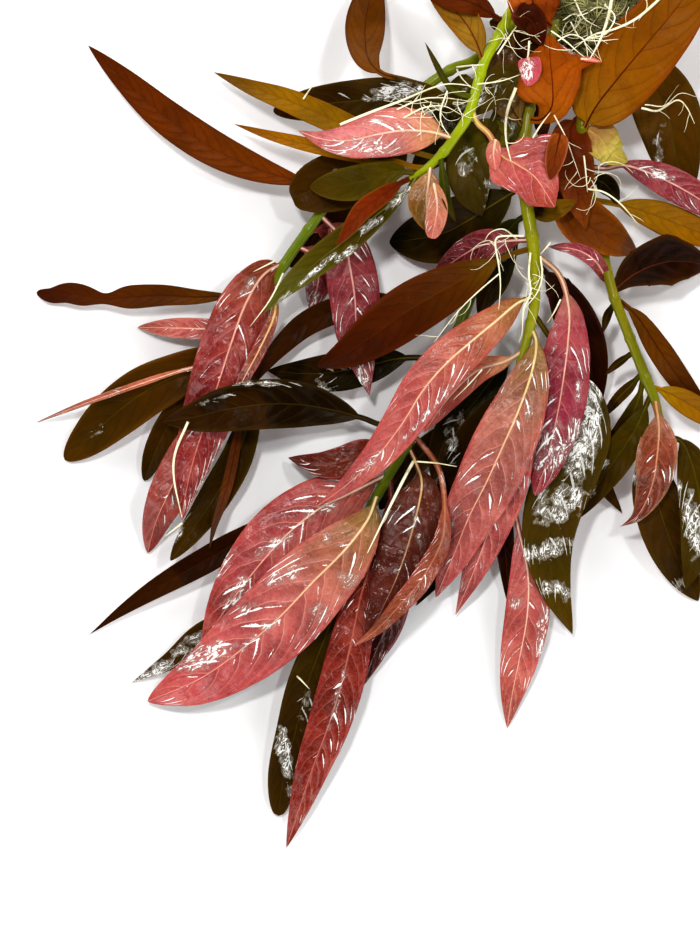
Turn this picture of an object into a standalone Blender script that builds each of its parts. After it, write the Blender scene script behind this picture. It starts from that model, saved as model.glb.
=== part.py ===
"""Ludwigia peruensis: a bunch of rooted, leafy stems lying on a surface, seen from above.

Lengths in the driving dimensions are millimetres. X runs to the right and Y away from the
shoot tips, towards the roots. Everything is laid down in stacking order, from the surface up:
each leaf sags towards the surface and rests on whatever lies under it.
"""
import bmesh
import bpy
import math
import numpy as np
from mathutils import Vector

MM = 0.001
PLAN_CENTRE = (12.25, 23.36)
LEAF_THICKNESS = 0.8
PETIOLE_WIDTH = 1.7
LAYER_GAP = 1.2
CUT_GAP = 0.35
STEM_SIDES = 8
STEM_SECTIONS = 20
LEAF_SEGMENTS = 9
SMALL_LEAF_SEGMENTS = 6
WIDE_LEAF = 12.5
WOOL_CENTRE = (73.0, 142.0, 16.5)
WOOL_RADII = (16.0, 20.0, 16.5)

# Each stem runs from the wool to its tip: (x, y, height of its axis, radius).
STEMS = {
    "stem_left": [(64, 147, 9, 1.7), (50, 134, 13, 1.7), (38, 122.5, 17, 1.6), (31, 119.5, 18, 1.6),
                  (24, 115, 18, 1.6), (14, 107, 17, 1.6), (2, 93, 15, 1.6), (-5, 82, 14, 1.6),
                  (-9, 76, 14, 1.6), (-18, 63.5, 13, 1.6), (-23, 55, 12, 1.5), (-27, 46, 11, 1.4),
                  (-31, 36, 10, 1.2), (-34, 27, 9, 0.9)],
    "stem_lower": [(68, 146, 7, 1.7), (62, 128, 7, 1.7), (52, 100, 8, 1.7), (46, 80, 8, 1.7),
                   (40, 62, 9, 1.7), (33, 42, 11, 1.7), (26, 24, 13, 1.6), (18, 8, 14, 1.6),
                   (12, -2, 14, 1.6), (8, -9, 13, 1.6), (4, -16, 11, 1.4), (0, -22, 10, 1.0)],
    "stem_right": [(76, 146, 17, 1.9), (75, 133, 18, 1.9), (73, 122, 20, 1.9), (70, 108, 22, 1.9),
                   (70, 95, 22, 1.9), (72, 80, 22, 1.8), (75, 68, 22, 1.6), (77.5, 57, 22, 1.6),
                   (79.5, 50, 22, 1.6), (83, 41, 21, 1.6), (86, 33.5, 20, 1.6), (89, 26, 19, 1.7),
                   (91.5, 20, 18, 1.5), (93, 14, 17, 1.2), (94, 8, 16, 0.9)],
    "stem_middle": [(69, 150, 25, 1.9), (62, 133, 25, 1.9), (55.5, 116, 25, 1.9), (52.5, 100, 26, 1.9),
                    (52, 88, 26, 1.9), (53, 78, 26, 2.0), (55, 65, 27, 1.9), (55.3, 50, 26, 1.7),
                    (54, 42, 24, 1.6), (52.3, 35, 21, 1.5), (50, 25, 17, 1.4), (48.3, 15, 14, 1.2),
                    (47, 5, 12, 0.9)],
    "stem_front": [(60, 156, 29, 1.6), (52, 142, 32, 1.6), (47, 134, 35, 1.6), (43.5, 127, 37, 1.6),
                   (40, 120.5, 38, 1.6), (37, 110, 39, 1.6), (35, 104, 39, 1.6), (31, 98, 38, 1.5),
                   (28, 94, 37, 1.5), (24, 90, 36, 1.3), (20.5, 87.5, 35, 1.1), (18, 86, 34, 0.8)],
}

COLOURS = {
    "pink": (0.50, 0.12, 0.13),
    "red": (0.33, 0.04, 0.04),
    "magenta": (0.30, 0.05, 0.08),
    "maroon": (0.10, 0.015, 0.012),
    "olive": (0.11, 0.08, 0.012),
    "brown": (0.15, 0.05, 0.008),
    "orange": (0.42, 0.12, 0.008),
    "gold": (0.42, 0.22, 0.015),
    "stem": (0.34, 0.42, 0.02),
    "wool": (0.33, 0.33, 0.2),
}

# The height field that the leaves settle on: one cell a millimetre, from FIELD_LOW up.
FIELD_LOW = np.array([-115.0, -135.0])
FIELD_SIZE = (260, 310)
STATIONS = 161
ACROSS = np.linspace(-1.0, 1.0, 17)


def spline(points, count):
    """Points at even spacing along a Catmull-Rom curve through the given ones."""
    points = np.array(points, float)
    padded = np.vstack([2 * points[0] - points[1], points, 2 * points[-1] - points[-2]])
    fine = []
    for a, b, c, d in zip(padded, padded[1:], padded[2:], padded[3:]):
        t = np.linspace(0, 1, 30, endpoint=False)[:, None]
        fine.append(0.5 * (2 * b + (c - a) * t + (2 * a - 5 * b + 4 * c - d) * t ** 2
                           + (3 * b - a - 3 * c + d) * t ** 3))
    fine = np.vstack(fine + [points[-1:]])
    steps = np.linalg.norm(np.diff(fine[:, :2], axis=0), axis=1)
    along = np.concatenate([[0], np.cumsum(steps)])
    even = np.linspace(0, along[-1], count)
    return np.stack([np.interp(even, along, column) for column in fine.T], axis=1)


class Pile:
    """What has been laid down so far, as the height of its top over each square millimetre."""

    def __init__(self):
        self.top = np.full(FIELD_SIZE, -LAYER_GAP)

    def cells(self, x, y):
        i = np.clip((x - FIELD_LOW[0]).astype(int), 1, FIELD_SIZE[0] - 2)
        j = np.clip((y - FIELD_LOW[1]).astype(int), 1, FIELD_SIZE[1] - 2)
        return i, j

    def height_under(self, x, y):
        i, j = self.cells(x, y)
        around = [self.top[i + di, j + dj] for di in (-1, 0, 1) for dj in (-1, 0, 1)]
        return np.max(around, axis=0)

    def lay(self, x, y, z):
        i, j = self.cells(x.ravel(), y.ravel())
        np.maximum.at(self.top, (i, j), z.ravel())


def blade_profile(u, petiole, base, point):
    """Half the width at each station as a share of the widest, zero along the petiole."""
    v = np.clip((u - petiole) / (1 - petiole), 0, 1)
    peak = base / (base + point)
    return (v / peak) ** base * ((1 - v) / (1 - peak)) ** point


class Leaf:
    """A leaf blade on its petiole, as a sheet over u, from base to tip, and t, across.

    An outline, for a creased or lobed blade, lists (u, reach to the right, reach to the left)
    as seen when looking from base to tip.
    """

    def __init__(self, stem, path, width, droop=1.0, arch=3.0, fold=0.12, cup=0.1, roll=0.0,
                 petiole=0.1, base=0.75, point=0.95, pinch=None, start=None, outline=None):
        self.axis = spline(STEMS[stem], 300)
        root = self.axis[np.argmin(np.hypot(*(self.axis[:, :2] - path[0]).T))]
        self.stem_radius = root[3]
        plan = spline([tuple(root[:2])] + list(path[1:]), STATIONS)
        self.u = np.linspace(0, 1, STATIONS)
        self.length = np.linalg.norm(np.diff(plan, axis=0), axis=1).sum()
        lift = root[2] if start is None else start
        height = lift + (droop - lift) * self.u + arch * 4 * self.u * (1 - self.u)
        self.spine = np.column_stack([plan, height])
        half = width / 2 * blade_profile(self.u, petiole, base, point)
        if pinch:
            place, depth = pinch
            half *= 1 - depth * np.exp(-((self.u - place) / 0.07) ** 2)
        stalk = PETIOLE_WIDTH / 2 * np.clip((1 - self.u) / 0.5, 0, 1)
        half = np.maximum(half, stalk)
        self.halves = np.stack([half, half], axis=1)
        if outline:
            places, right, left = np.array(outline, float).T
            self.halves = np.stack([np.interp(self.u, places, side) for side in (right, left)], axis=1)
        self.fold, self.cup = fold, cup
        self.roll = math.radians(roll) * np.clip((self.u - petiole * 0.5) / 0.2, 0, 1)

    def sheet(self, across):
        """The middle surface, and its upward normal, at every station and place across."""
        along = np.gradient(self.spine, axis=0)
        along /= np.linalg.norm(along, axis=1)[:, None]
        level = np.stack([-along[:, 1], along[:, 0], np.zeros(len(along))], axis=1)
        level /= np.linalg.norm(level, axis=1)[:, None]
        up = np.cross(along, level)
        cos, sin = np.cos(self.roll)[:, None], np.sin(self.roll)[:, None]
        side = cos * level + sin * up
        face = cos * up - sin * level
        half = np.where(across < 0, self.halves[:, :1], self.halves[:, 1:])
        rise = half * (self.fold * np.abs(across) + self.cup * across ** 2)
        out = half * across
        surface = (self.spine[:, None] + out[:, :, None] * side[:, None]
                   + rise[:, :, None] * face[:, None])
        return surface, face

    def settle(self, pile):
        """Raise the leaf smoothly wherever it would sink into what lies under it."""
        reach = self.stem_radius + 2.5
        held = np.clip((self.u * self.length - reach) / 7.0, 0, 1)
        spread = 6.0 / self.length + 0.05
        near = np.exp(-((self.u[:, None] - self.u[None]) / spread) ** 2)
        for _ in range(4):
            surface, _ = self.sheet(ACROSS)
            under = pile.height_under(surface[..., 0], surface[..., 1])
            need = (under + LAYER_GAP + LEAF_THICKNESS / 2 - surface[..., 2]).max(axis=1)
            need = np.maximum(need, 0) * held ** 2
            self.spine[:, 2] += (near * need[None]).max(axis=1) * held
            held = np.where(held < 1, held * 0.6, 1)
        surface, _ = self.sheet(ACROSS)
        pile.lay(surface[..., 0], surface[..., 1], surface[..., 2] + LEAF_THICKNESS / 2)

    def clear_of_stem(self):
        """How far along, in millimetres, the blade has left the stem that it grows from."""
        surface, _ = self.sheet(ACROSS)
        away = np.linalg.norm(surface[:, :, None] - self.axis[None, None, ::3, :3], axis=3)
        room = (away - self.axis[None, None, ::3, 3]).min(axis=(1, 2))
        near = np.nonzero(room < CUT_GAP + LEAF_THICKNESS / 2)[0]
        return self.u[near[-1] + 1] * self.length if len(near) else 0.0


def material(name):
    """A plain Principled material in one of the plant's colours."""
    found = bpy.data.materials.get(name)
    if found:
        return found
    made = bpy.data.materials.new(name)
    made.use_nodes = True
    shader = made.node_tree.nodes["Principled BSDF"]
    shader.inputs["Base Color"].default_value = (*COLOURS[name], 1)
    shader.inputs["Roughness"].default_value = 0.3
    shader.inputs["Metallic"].default_value = 0.0
    return made


def add_object(name, points, faces, colour):
    """A named object from points in millimetres, moved so that the bunch is centred."""
    shift = np.array([PLAN_CENTRE[0], PLAN_CENTRE[1], 0.0])
    mesh = bpy.data.meshes.new(name)
    mesh.from_pydata([tuple((np.array(p) - shift) * MM) for p in points], [], faces)
    shape = bmesh.new()
    shape.from_mesh(mesh)
    bmesh.ops.triangulate(shape, faces=shape.faces)
    shape.to_mesh(mesh)
    shape.free()
    mesh.shade_smooth()
    mesh.materials.append(material(colour))
    made = bpy.data.objects.new(name, mesh)
    bpy.context.scene.collection.objects.link(made)
    return made


def loft(rings):
    """Outward faces that join equal rings one after another and close both ends."""
    count = len(rings[0])
    points = [p for ring in rings for p in ring]
    faces = []
    for i in range(len(rings) - 1):
        for k in range(count):
            m = (k + 1) % count
            faces.append((i * count + k, (i + 1) * count + k, (i + 1) * count + m, i * count + m))
    faces.append(tuple(range(count)))
    faces.append(tuple(range(len(rings) * count - 1, (len(rings) - 1) * count - 1, -1)))
    return points, faces


def tube(axis, sides):
    """A round tube along (x, y, z, radius) points, turned square to its axis."""
    axis = np.array(axis, float)
    along = np.gradient(axis[:, :3], axis=0)
    along /= np.linalg.norm(along, axis=1)[:, None]
    rings = []
    for place, direction in zip(axis, along):
        side = np.cross(direction, (0, 0, 1))
        side /= np.linalg.norm(side)
        up = np.cross(side, direction)
        angles = np.arange(sides) * 2 * math.pi / sides
        rings.append([place[:3] + place[3] * (math.cos(a) * side + math.sin(a) * up)
                      for a in angles])
    return loft(rings)


def leaf_solid(leaf, segments, wide, start):
    """A thin closed solid of the leaf: lens-shaped across, from start millimetres to its tip."""
    first = start / leaf.length
    places = np.concatenate([[first], np.linspace(first, 1, segments + 1)[1:]])
    places = first + (1 - first) * ((places - first) / (1 - first)) ** 0.92
    index = np.clip(np.round(places * (STATIONS - 1)).astype(int), 0, STATIONS - 1)
    across = np.array([-1, -0.55, 0, 0.55, 1]) if wide else np.array([-1, 0, 1])
    surface, face = leaf.sheet(across)
    lens = LEAF_THICKNESS / 2 * (1 - 0.6 * np.abs(across[1:-1]))
    rings = []
    for i in index[:-1]:
        top = surface[i, 1:-1] + lens[:, None] * face[i]
        bottom = surface[i, 1:-1] - lens[:, None] * face[i]
        rings.append([surface[i, 0], *top, surface[i, -1], *bottom[::-1]])
    points, faces = loft(rings)
    faces.pop()
    tip = len(points)
    count = len(rings[0])
    last = (len(rings) - 1) * count
    points.append(surface[index[-1], len(across) // 2])
    faces += [(last + k, tip, last + (k + 1) % count) for k in range(count)]
    return points, faces


pile = Pile()
joined = {name: [] for name in STEMS}


def own_leaf(name, colour, stem, path, width, **shape):
    """A leaf that is a piece of its own, cut just clear of the stem that it grows from."""
    leaf = Leaf(stem, path, width, **shape)
    leaf.settle(pile)
    points, faces = leaf_solid(leaf, LEAF_SEGMENTS, width > WIDE_LEAF, leaf.clear_of_stem())
    add_object(name, points, faces, colour)


def joined_leaf(stem, path, width, **shape):
    """A small leaf that stays one piece with its stem."""
    leaf = Leaf(stem, path, width, **shape)
    leaf.settle(pile)
    joined[stem].append(leaf_solid(leaf, SMALL_LEAF_SEGMENTS, False, 0.0))


def lay_stem(name):
    axis = spline(STEMS[name], 400)
    around = np.linspace(-1, 1, 9)
    along = np.gradient(axis[:, :2], axis=0)
    along /= np.linalg.norm(along, axis=1)[:, None]
    level = np.stack([-along[:, 1], along[:, 0]], axis=1)
    place = axis[:, None, :2] + (around[None] * axis[:, 3:4])[:, :, None] * level[:, None]
    top = axis[:, 2:3] + axis[:, 3:4] * np.sqrt(1 - around[None] ** 2)
    pile.lay(place[..., 0], place[..., 1], top)


def remove_everything():
    for item in list(bpy.data.objects):
        bpy.data.objects.remove(item, do_unlink=True)


remove_everything()

# The wool pad and four of the stems go down first.
wool_across, wool_along = np.meshgrid(np.linspace(-1, 1, 41), np.linspace(-1, 1, 41))
inside = wool_across ** 2 + wool_along ** 2 < 1
wool_top = WOOL_CENTRE[2] + WOOL_RADII[2] * np.sqrt(np.clip(1 - wool_across ** 2 - wool_along ** 2, 0, 1))
pile.lay((WOOL_CENTRE[0] + WOOL_RADII[0] * wool_across)[inside],
         (WOOL_CENTRE[1] + WOOL_RADII[1] * wool_along)[inside], wool_top[inside])
for low_stem in ("stem_lower", "stem_left", "stem_right", "stem_middle"):
    lay_stem(low_stem)

# Leaves that lie on the surface, under the rest.
own_leaf("leaf_umber_lower_left", "brown", "stem_lower",
         [(3, -17), (-12, -17), (-24, -18), (-34, -22.8), (-43, -28), (-52, -33), (-61, -38.3),
          (-70, -44.3), (-79, -51)], 8, petiole=0.2, point=1.2)
own_leaf("leaf_grey_lower_left", "olive", "stem_lower",
         [(0.5, -21), (-12, -33), (-24, -42), (-36, -48), (-45, -52), (-54, -58.5), (-66, -65.2)],
         11, petiole=0.15, point=1.1)
own_leaf("leaf_olive_lowest", "olive", "stem_lower",
         [(2, -19), (-1, -34), (-7, -50), (-13, -66), (-16.5, -80), (-20, -93), (-21.7, -105.3)],
         12, petiole=0.06, base=0.6, point=0.45)
own_leaf("leaf_olive_left_lower", "olive", "stem_left",
         [(-32, 33), (-30, 18), (-33.5, 4), (-40, -8), (-47, -18.5), (-54, -28.3)], 10, point=0.7)
joined_leaf("stem_left", [(-33.2, 30), (-33.2, 14), (-36, -2), (-38.5, -11), (-40.8, -18),
                          (-42.3, -25)], 3.5, petiole=0.25)
joined_leaf("stem_left", [(-33, 30), (-43, 23.5), (-52, 16), (-58, 6), (-62, -4.3)], 8, point=0.6)
own_leaf("leaf_olive_left_broad", "olive", "stem_left",
         [(-30, 39), (-42, 33), (-52, 27.5), (-62, 22.3), (-71, 15.6), (-79, 8.3), (-86, 2)],
         15.5, petiole=0.14, base=0.6, point=0.6)
own_leaf("leaf_wavy_left", "brown", "stem_left",
         [(-24.5, 52), (-36, 51.3), (-46, 51), (-56, 51.5), (-66, 51), (-73, 50.5), (-79, 51.3),
          (-85, 52.3), (-90, 51.6), (-94.5, 52.5)], 7.5, petiole=0.15, point=0.5, pinch=(0.7, 0.55))
joined_leaf("stem_left", [(-28.5, 42.5), (-42, 41.5), (-52, 41.7), (-64, 42)], 6.5, point=0.8)
joined_leaf("stem_left", [(-32.2, 32.8), (-40, 30.8), (-50, 28.8), (-62, 25), (-72, 21.5), (-82, 18),
                          (-94.5, 13.3)], 3.2, roll=55, petiole=0.2, arch=9)
own_leaf("leaf_rust_far_left", "brown", "stem_left",
         [(-3, 84.5), (-14, 85.7), (-25, 88.5), (-36, 93), (-46, 98.6), (-57, 106.5), (-68, 116.5),
          (-79, 127)], 11, petiole=0.1, base=0.8, point=0.9)
joined_leaf("stem_middle", [(47.6, 10), (45, 0), (46.5, -22), (48, -43)], 6)
own_leaf("leaf_pink_lower_right", "pink", "stem_middle",
         [(47.2, 6), (48, -6), (50.5, -18), (53.5, -32), (53.3, -45), (51, -58), (48.8, -69),
          (47.4, -79)], 13.5, petiole=0.3, fold=-0.14, cup=-0.1)
own_leaf("leaf_black_lower", "olive", "stem_middle",
         [(51, 29), (42.5, 17), (36, 5), (31.5, -12), (29, -26), (20, -42)], 13.5, fold=0.1)
own_leaf("leaf_olive_right_broad", "olive", "stem_right",
         [(93.2, 13), (90.5, 6), (91, -5), (94.8, -18), (99.5, -30), (105, -40.5)], 15.5, point=0.8)
own_leaf("leaf_olive_right_edge", "olive", "stem_right",
         [(94, 9), (100, 7), (104, -4), (105.5, -16), (103.5, -28), (101, -37)], 13)
own_leaf("leaf_olive_upper_right", "olive", "stem_right",
         [(72.5, 118), (82, 119), (91, 114), (96, 104), (98.5, 93), (102.5, 80)], 20)
own_leaf("leaf_gold_right", "gold", "stem_right",
         [(72, 80), (82, 78.3), (90, 76), (98, 73), (106, 70), (117, 65.5)], 10, petiole=0.18)
own_leaf("leaf_bronze_right", "brown", "stem_right",
         [(79.3, 51), (86, 45), (92, 36), (98, 27.5), (104, 20.5), (111, 13.5)], 7.5)
own_leaf("leaf_black_middle", "maroon", "stem_middle",
         [(55.2, 62), (62, 54), (68, 43), (72, 32), (75, 16.5)], 13)
own_leaf("leaf_black_left", "olive", "stem_lower",
         [(29, 33), (16, 32.6), (6, 30.5), (-4, 28.5), (-14, 28), (-25, 29)], 12, petiole=0.22)
joined_leaf("stem_lower", [(12, -2), (13, -20), (13, -35), (11, -47), (7, -57), (3.3, -67)], 12,
            fold=-0.1, cup=-0.1)
own_leaf("leaf_red_lowest", "red", "stem_lower",
         [(5.5, -13.5), (6, -28), (3, -40), (0.5, -52), (-2.5, -65), (-6.5, -78), (-11, -90),
          (-15, -102), (-19.2, -115)], 13.5, fold=-0.12, cup=-0.1, point=0.9)
own_leaf("leaf_olive_behind_middle", "olive", "stem_middle",
         [(52.2, 84), (42, 78), (34, 73), (26, 69.5), (12, 67.5)], 18, point=0.75)
own_leaf("leaf_olive_behind_front", "olive", "stem_middle",
         [(52.3, 98), (46, 99.5), (40, 97), (36.5, 90.5), (36.5, 83), (39.5, 75)], 16, droop=15)
joined_leaf("stem_middle", [(53.5, 76), (48.5, 72), (45, 65), (42.5, 55), (38.5, 45.5)], 11, droop=8)
joined_leaf("stem_middle", [(52.6, 101), (48.5, 107), (46, 114), (45.5, 122), (48.5, 130)], 13,
            droop=27)

# The left bunch.
joined_leaf("stem_left", [(-12.8, 70.5), (-9, 71), (-5.5, 69.5), (-3.5, 66)], 6.5, petiole=0.25)
joined_leaf("stem_left", [(-16, 66.5), (-10.5, 63), (-9.5, 56), (-12, 46.5)], 9,
            fold=-0.12, cup=-0.1)
own_leaf("leaf_umber_left", "brown", "stem_lower",
         [(36, 50), (22, 47), (8, 49), (-4, 47), (-13, 43), (-20, 37), (-26, 30), (-31.5, 22)], 8,
         petiole=0.15)
own_leaf("leaf_magenta_behind", "magenta", "stem_left",
         [(-9, 76), (-2, 68), (0, 60), (1.5, 50), (2, 40), (4, 30), (5.8, 21.3)], 15.5,
         fold=-0.14, cup=-0.1, petiole=0.08, base=0.55)
own_leaf("leaf_olive_round", "olive", "stem_left",
         [(13, 106), (14, 96), (8, 90), (-1, 86.5), (-9, 84), (-17.3, 80.5)], 18, petiole=0.2,
         base=0.5, point=0.42)
own_leaf("leaf_olive_wet_top", "olive", "stem_front",
         [(36.7, 108.5), (29, 109), (21, 110.5), (11, 110.5), (0, 109.5), (-12, 108.5), (-23, 107)],
         12.5, droop=8, base=0.6, point=0.6)
own_leaf("leaf_brown_top", "brown", "stem_left",
         [(23, 114), (17, 115.8), (10, 117.2), (5.5, 122), (4.5, 130), (5.5, 139), (8.5, 150)],
         12, petiole=0.3)
own_leaf("leaf_red_left_lower", "red", "stem_left",
         [(-34, 27), (-39, 19.8), (-44.5, 11), (-49.5, 2), (-54.5, -8), (-58.5, -17), (-61, -26)], 12.5,
         fold=-0.14, cup=-0.1, point=0.7)

# The right bunch.
own_leaf("leaf_brown_upper", "orange", "stem_right",
         [(71, 88), (67, 84.5), (66.5, 78.5), (70, 73), (77, 69), (86.5, 64.5)], 15, roll=-12)
own_leaf("leaf_maroon_upper", "maroon", "stem_right",
         [(70, 106), (66.5, 102), (66, 95), (67.2, 88), (68.3, 80), (70.5, 71)], 13, base=0.5, arch=5)
own_leaf("leaf_magenta_upper_right", "magenta", "stem_right",
         [(70.5, 90), (76.5, 89.5), (82, 90.4), (88, 88.7), (95, 85.7), (102, 82), (110, 77),
          (119, 70.5)], 10, petiole=0.2, fold=-0.14, cup=-0.1)
joined_leaf("stem_right", [(70.5, 102), (74.3, 99), (76.8, 95.7), (79.5, 93), (83.2, 91.3)], 11,
            base=0.5, arch=7)
joined_leaf("stem_right", [(71.5, 87), (75.5, 85.5), (78.5, 82.5), (80, 78.5)], 6)
joined_leaf("stem_right", [(88.2, 28), (86.5, 20), (82, 10), (77, 3), (76.5, -5), (82, -14)], 7)
own_leaf("leaf_olive_right_long", "olive", "stem_right",
         [(90.6, 22.5), (86, 12), (81, 4), (75.5, -4), (68.5, -16)], 10)
own_leaf("leaf_redbrown_right", "red", "stem_right",
         [(91.6, 19.5), (92.6, 12), (92, 3), (90.5, -6), (86.5, -14.5), (81, -18.3)], 12.5,
         fold=-0.14, cup=-0.12, point=1.4, arch=5, start=21.5)
own_leaf("leaf_gold_right_low", "gold", "stem_right",
         [(90, 24.3), (95, 22.3), (100, 19.8), (107, 15.5), (114, 10.5)], 7.5)
joined_leaf("stem_right", [(88, 28.5), (84, 24), (80, 20), (75.8, 14.5)], 3.6)
joined_leaf("stem_right", [(85.6, 34.5), (80, 30.6), (76.4, 27.3)], 2.4)
joined_leaf("stem_right", [(79.6, 49.8), (77.4, 45.5), (76, 40.3)], 2.6)
joined_leaf("stem_right", [(79, 52), (77, 56), (73.5, 61.3), (68, 64.7), (59.5, 66)], 4.8)
own_leaf("leaf_black_right", "maroon", "stem_right",
         [(79, 52.5), (85, 57.5), (92, 60.7), (99, 61.7), (109, 60.5)], 15, roll=8,
         outline=[(0, 0.85, 0.85), (0.13, 2.2, 3.5), (0.25, 4, 6), (0.36, 5.5, 7), (0.58, 7.2, 8.6),
                  (0.79, 5, 5), (1, 0.3, 0.3)])
own_leaf("leaf_olive_glare", "olive", "stem_middle",
         [(54.8, 46), (63, 34), (70.5, 23), (71, 11), (66.5, 0), (61.5, -11), (59.5, -23), (61.5, -36),
          (67, -50.5)], 18, petiole=0.22, base=0.7)

# The middle bunch.
joined_leaf("stem_middle", [(52.3, 35), (46.5, 31.5), (38, 28.5), (30, 21), (22, 10)], 8,
            fold=-0.12, cup=-0.1)
own_leaf("leaf_magenta_wet", "magenta", "stem_middle",
         [(55.2, 64), (62.5, 57.5), (65.5, 47), (65.2, 37), (64, 27), (62, 15), (59, 2),
          (55.5, -8.8)], 16, petiole=0.2, fold=-0.14, cup=-0.1, point=0.75)
own_leaf("leaf_pink_behind_broad", "pink", "stem_middle",
         [(50, 25), (49.5, 10), (47, -3), (42.8, -16), (37.8, -30), (31.7, -45)], 14, petiole=0.04,
         fold=-0.12, cup=-0.1, arch=2, point=1.1)
own_leaf("leaf_pink_broad", "pink", "stem_middle",
         [(54, 42), (55.8, 37), (54.3, 28), (50.5, 17), (45.7, 6), (40.7, -5), (35.5, -15.5),
          (31, -27), (25.8, -39.5)], 19, petiole=0.05, fold=-0.12, cup=-0.12, arch=6, point=0.9)
own_leaf("leaf_red_left", "red", "stem_left",
         [(-19.5, 61.5), (-26, 57.5), (-31.5, 48.5), (-35.5, 37.5), (-39.5, 25), (-43.5, 13), (-47, 2),
          (-49.3, -8), (-50.5, -16)], 18, petiole=0.03, fold=-0.14, cup=-0.12, base=0.5, point=0.8,
         arch=5)
joined_leaf("stem_left", [(-22.6, 55.8), (-22.6, 46), (-27, 35.5), (-32.5, 25), (-37.5, 14)], 4.2,
            fold=-0.1, cup=-0.05, arch=6)
own_leaf("leaf_dark_front_left", "olive", "stem_lower",
         [(21, 14), (10.5, 12.5), (4, 14.5), (-4, 16.7), (-14, 18.5), (-25, 18.7), (-36, 17.3),
          (-46, 15), (-56, 13.5)], 15, petiole=0.24, point=0.8)

# The lower bunch.
own_leaf("leaf_pink_behind_large", "pink", "stem_lower",
         [(12, -2), (6, -5), (-1, -8.5), (-9, -12.5), (-19, -20.5), (-28, -30.5), (-36, -41),
          (-44.5, -53.5)], 21.5, petiole=0.06, fold=-0.12, cup=-0.12, base=0.7, point=0.85, arch=5)
own_leaf("leaf_redbrown_small", "red", "stem_lower",
         [(16, 5), (5, 4.3), (-2, 1.5), (-9, 0.6), (-18.5, 2.6)], 9.5, fold=-0.1)
own_leaf("leaf_maroon_lower", "maroon", "stem_lower",
         [(17.5, 6.5), (19.6, 1.5), (21.5, -5), (20, -14), (17, -25), (13.3, -35), (9, -44),
          (4.5, -53)], 18, petiole=0.14, fold=-0.14, cup=-0.1, base=0.6)
joined_leaf("stem_lower", [(19, 10), (27, -2), (28, -20), (22, -33), (15, -41.5), (8, -49),
                           (1, -54)], 6.5, petiole=0.3)
own_leaf("leaf_pink_front_large", "pink", "stem_lower",
         [(8, -9), (5, -16.5), (-2, -25.5), (-11, -34.5), (-21, -45), (-32, -54.5), (-45, -63.7),
          (-61, -70.8)], 24.5, petiole=0.03, fold=-0.1, cup=-0.14, base=0.62, point=0.72, arch=9, start=17)

# The front stem and what hangs from it, over everything else on the left.
lay_stem("stem_front")
own_leaf("leaf_gold_narrow", "gold", "stem_front",
         [(23, 89.2), (18.5, 89.6), (13, 91.4), (5, 92.2), (-5, 94.6), (-15, 97), (-25, 99.7), (-35, 103)],
         4.5, droop=12, petiole=0.12)
own_leaf("leaf_gold_long", "gold", "stem_front",
         [(26, 92), (18, 94.4), (9, 97.5), (0, 101.3), (-10, 106), (-20, 110.3), (-30, 114),
          (-41, 118.6)], 8, droop=10, petiole=0.1)
own_leaf("leaf_olive_small", "olive", "stem_front",
         [(20.3, 87.5), (14, 88.2), (8, 86.5), (0, 84.5), (-12, 83.7)], 10.5, droop=20, point=0.75)
own_leaf("leaf_olive_folded", "olive", "stem_front",
         [(20.5, 87.5), (16.5, 82), (7.5, 74.8), (-2, 67.3), (-11, 60.5), (-19, 53.5), (-26, 46)], 9,
         droop=8, fold=0.35)
joined_leaf("stem_front", [(18.6, 86.3), (15, 84.6), (9.5, 80.7), (4, 76.7), (0, 71.5), (-4, 66)], 6,
            droop=16, arch=4)
joined_leaf("stem_middle", [(52.6, 81), (57, 77), (61, 76.7), (67.5, 79.3)], 6.5)
joined_leaf("stem_middle", [(54.6, 68), (47, 67.5), (39, 66), (31, 61.5), (24, 56)], 9.5, droop=12,
            fold=-0.12, cup=-0.1)
own_leaf("leaf_umber_long", "brown", "stem_middle",
         [(54.8, 65.5), (47, 63), (38, 58.3), (28, 52.8), (18, 47), (8, 40), (-1, 34), (-10, 30)],
         16, petiole=0.15, droop=14, fold=-0.08, cup=-0.1, point=0.8, arch=6)
own_leaf("leaf_pink_folded", "pink", "stem_front",
         [(36, 107), (38, 102.5), (41.5, 99), (45, 93), (50, 90), (55.5, 86), (61, 77.5)], 18,
         droop=34, fold=-0.14, cup=-0.08,
         outline=[(0, 0.85, 0.85), (0.37, 0.9, 0.9), (0.47, 8, 6), (0.58, 8, 10), (0.68, 7.5, 14),
                  (0.79, 7.2, 6.5), (0.9, 6.5, 4), (1, 0.4, 0.4)])
own_leaf("leaf_salmon_long", "pink", "stem_middle",
         [(55.3, 51), (50, 48.8), (44, 43.8), (37, 38), (29, 31), (22, 23), (15.5, 12.7), (8, 3),
          (-1, -5.5), (-10, -12)], 14, petiole=0.04, fold=-0.16, cup=-0.12, arch=12, droop=16,
         base=0.6)
joined_leaf("stem_front", [(24, 90), (23.4, 84), (22.8, 78), (24.5, 69)], 11, droop=33, fold=-0.2)
joined_leaf("stem_front", [(27, 93), (28, 85), (29, 79), (31.5, 73)], 3, droop=33)
own_leaf("leaf_pink_wet", "pink", "stem_front",
         [(31, 98), (24, 99.8), (16, 100.2), (8, 99), (0, 97.3), (-8, 97.7), (-16, 100.5)], 14.5,
         droop=33, arch=5, fold=-0.14, cup=-0.14, petiole=0.08, base=0.6, point=1.2)
joined_leaf("stem_front", [(37, 110), (31, 112), (28, 115.7), (25, 121.3), (22.4, 126.6)], 2,
            droop=38)

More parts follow.
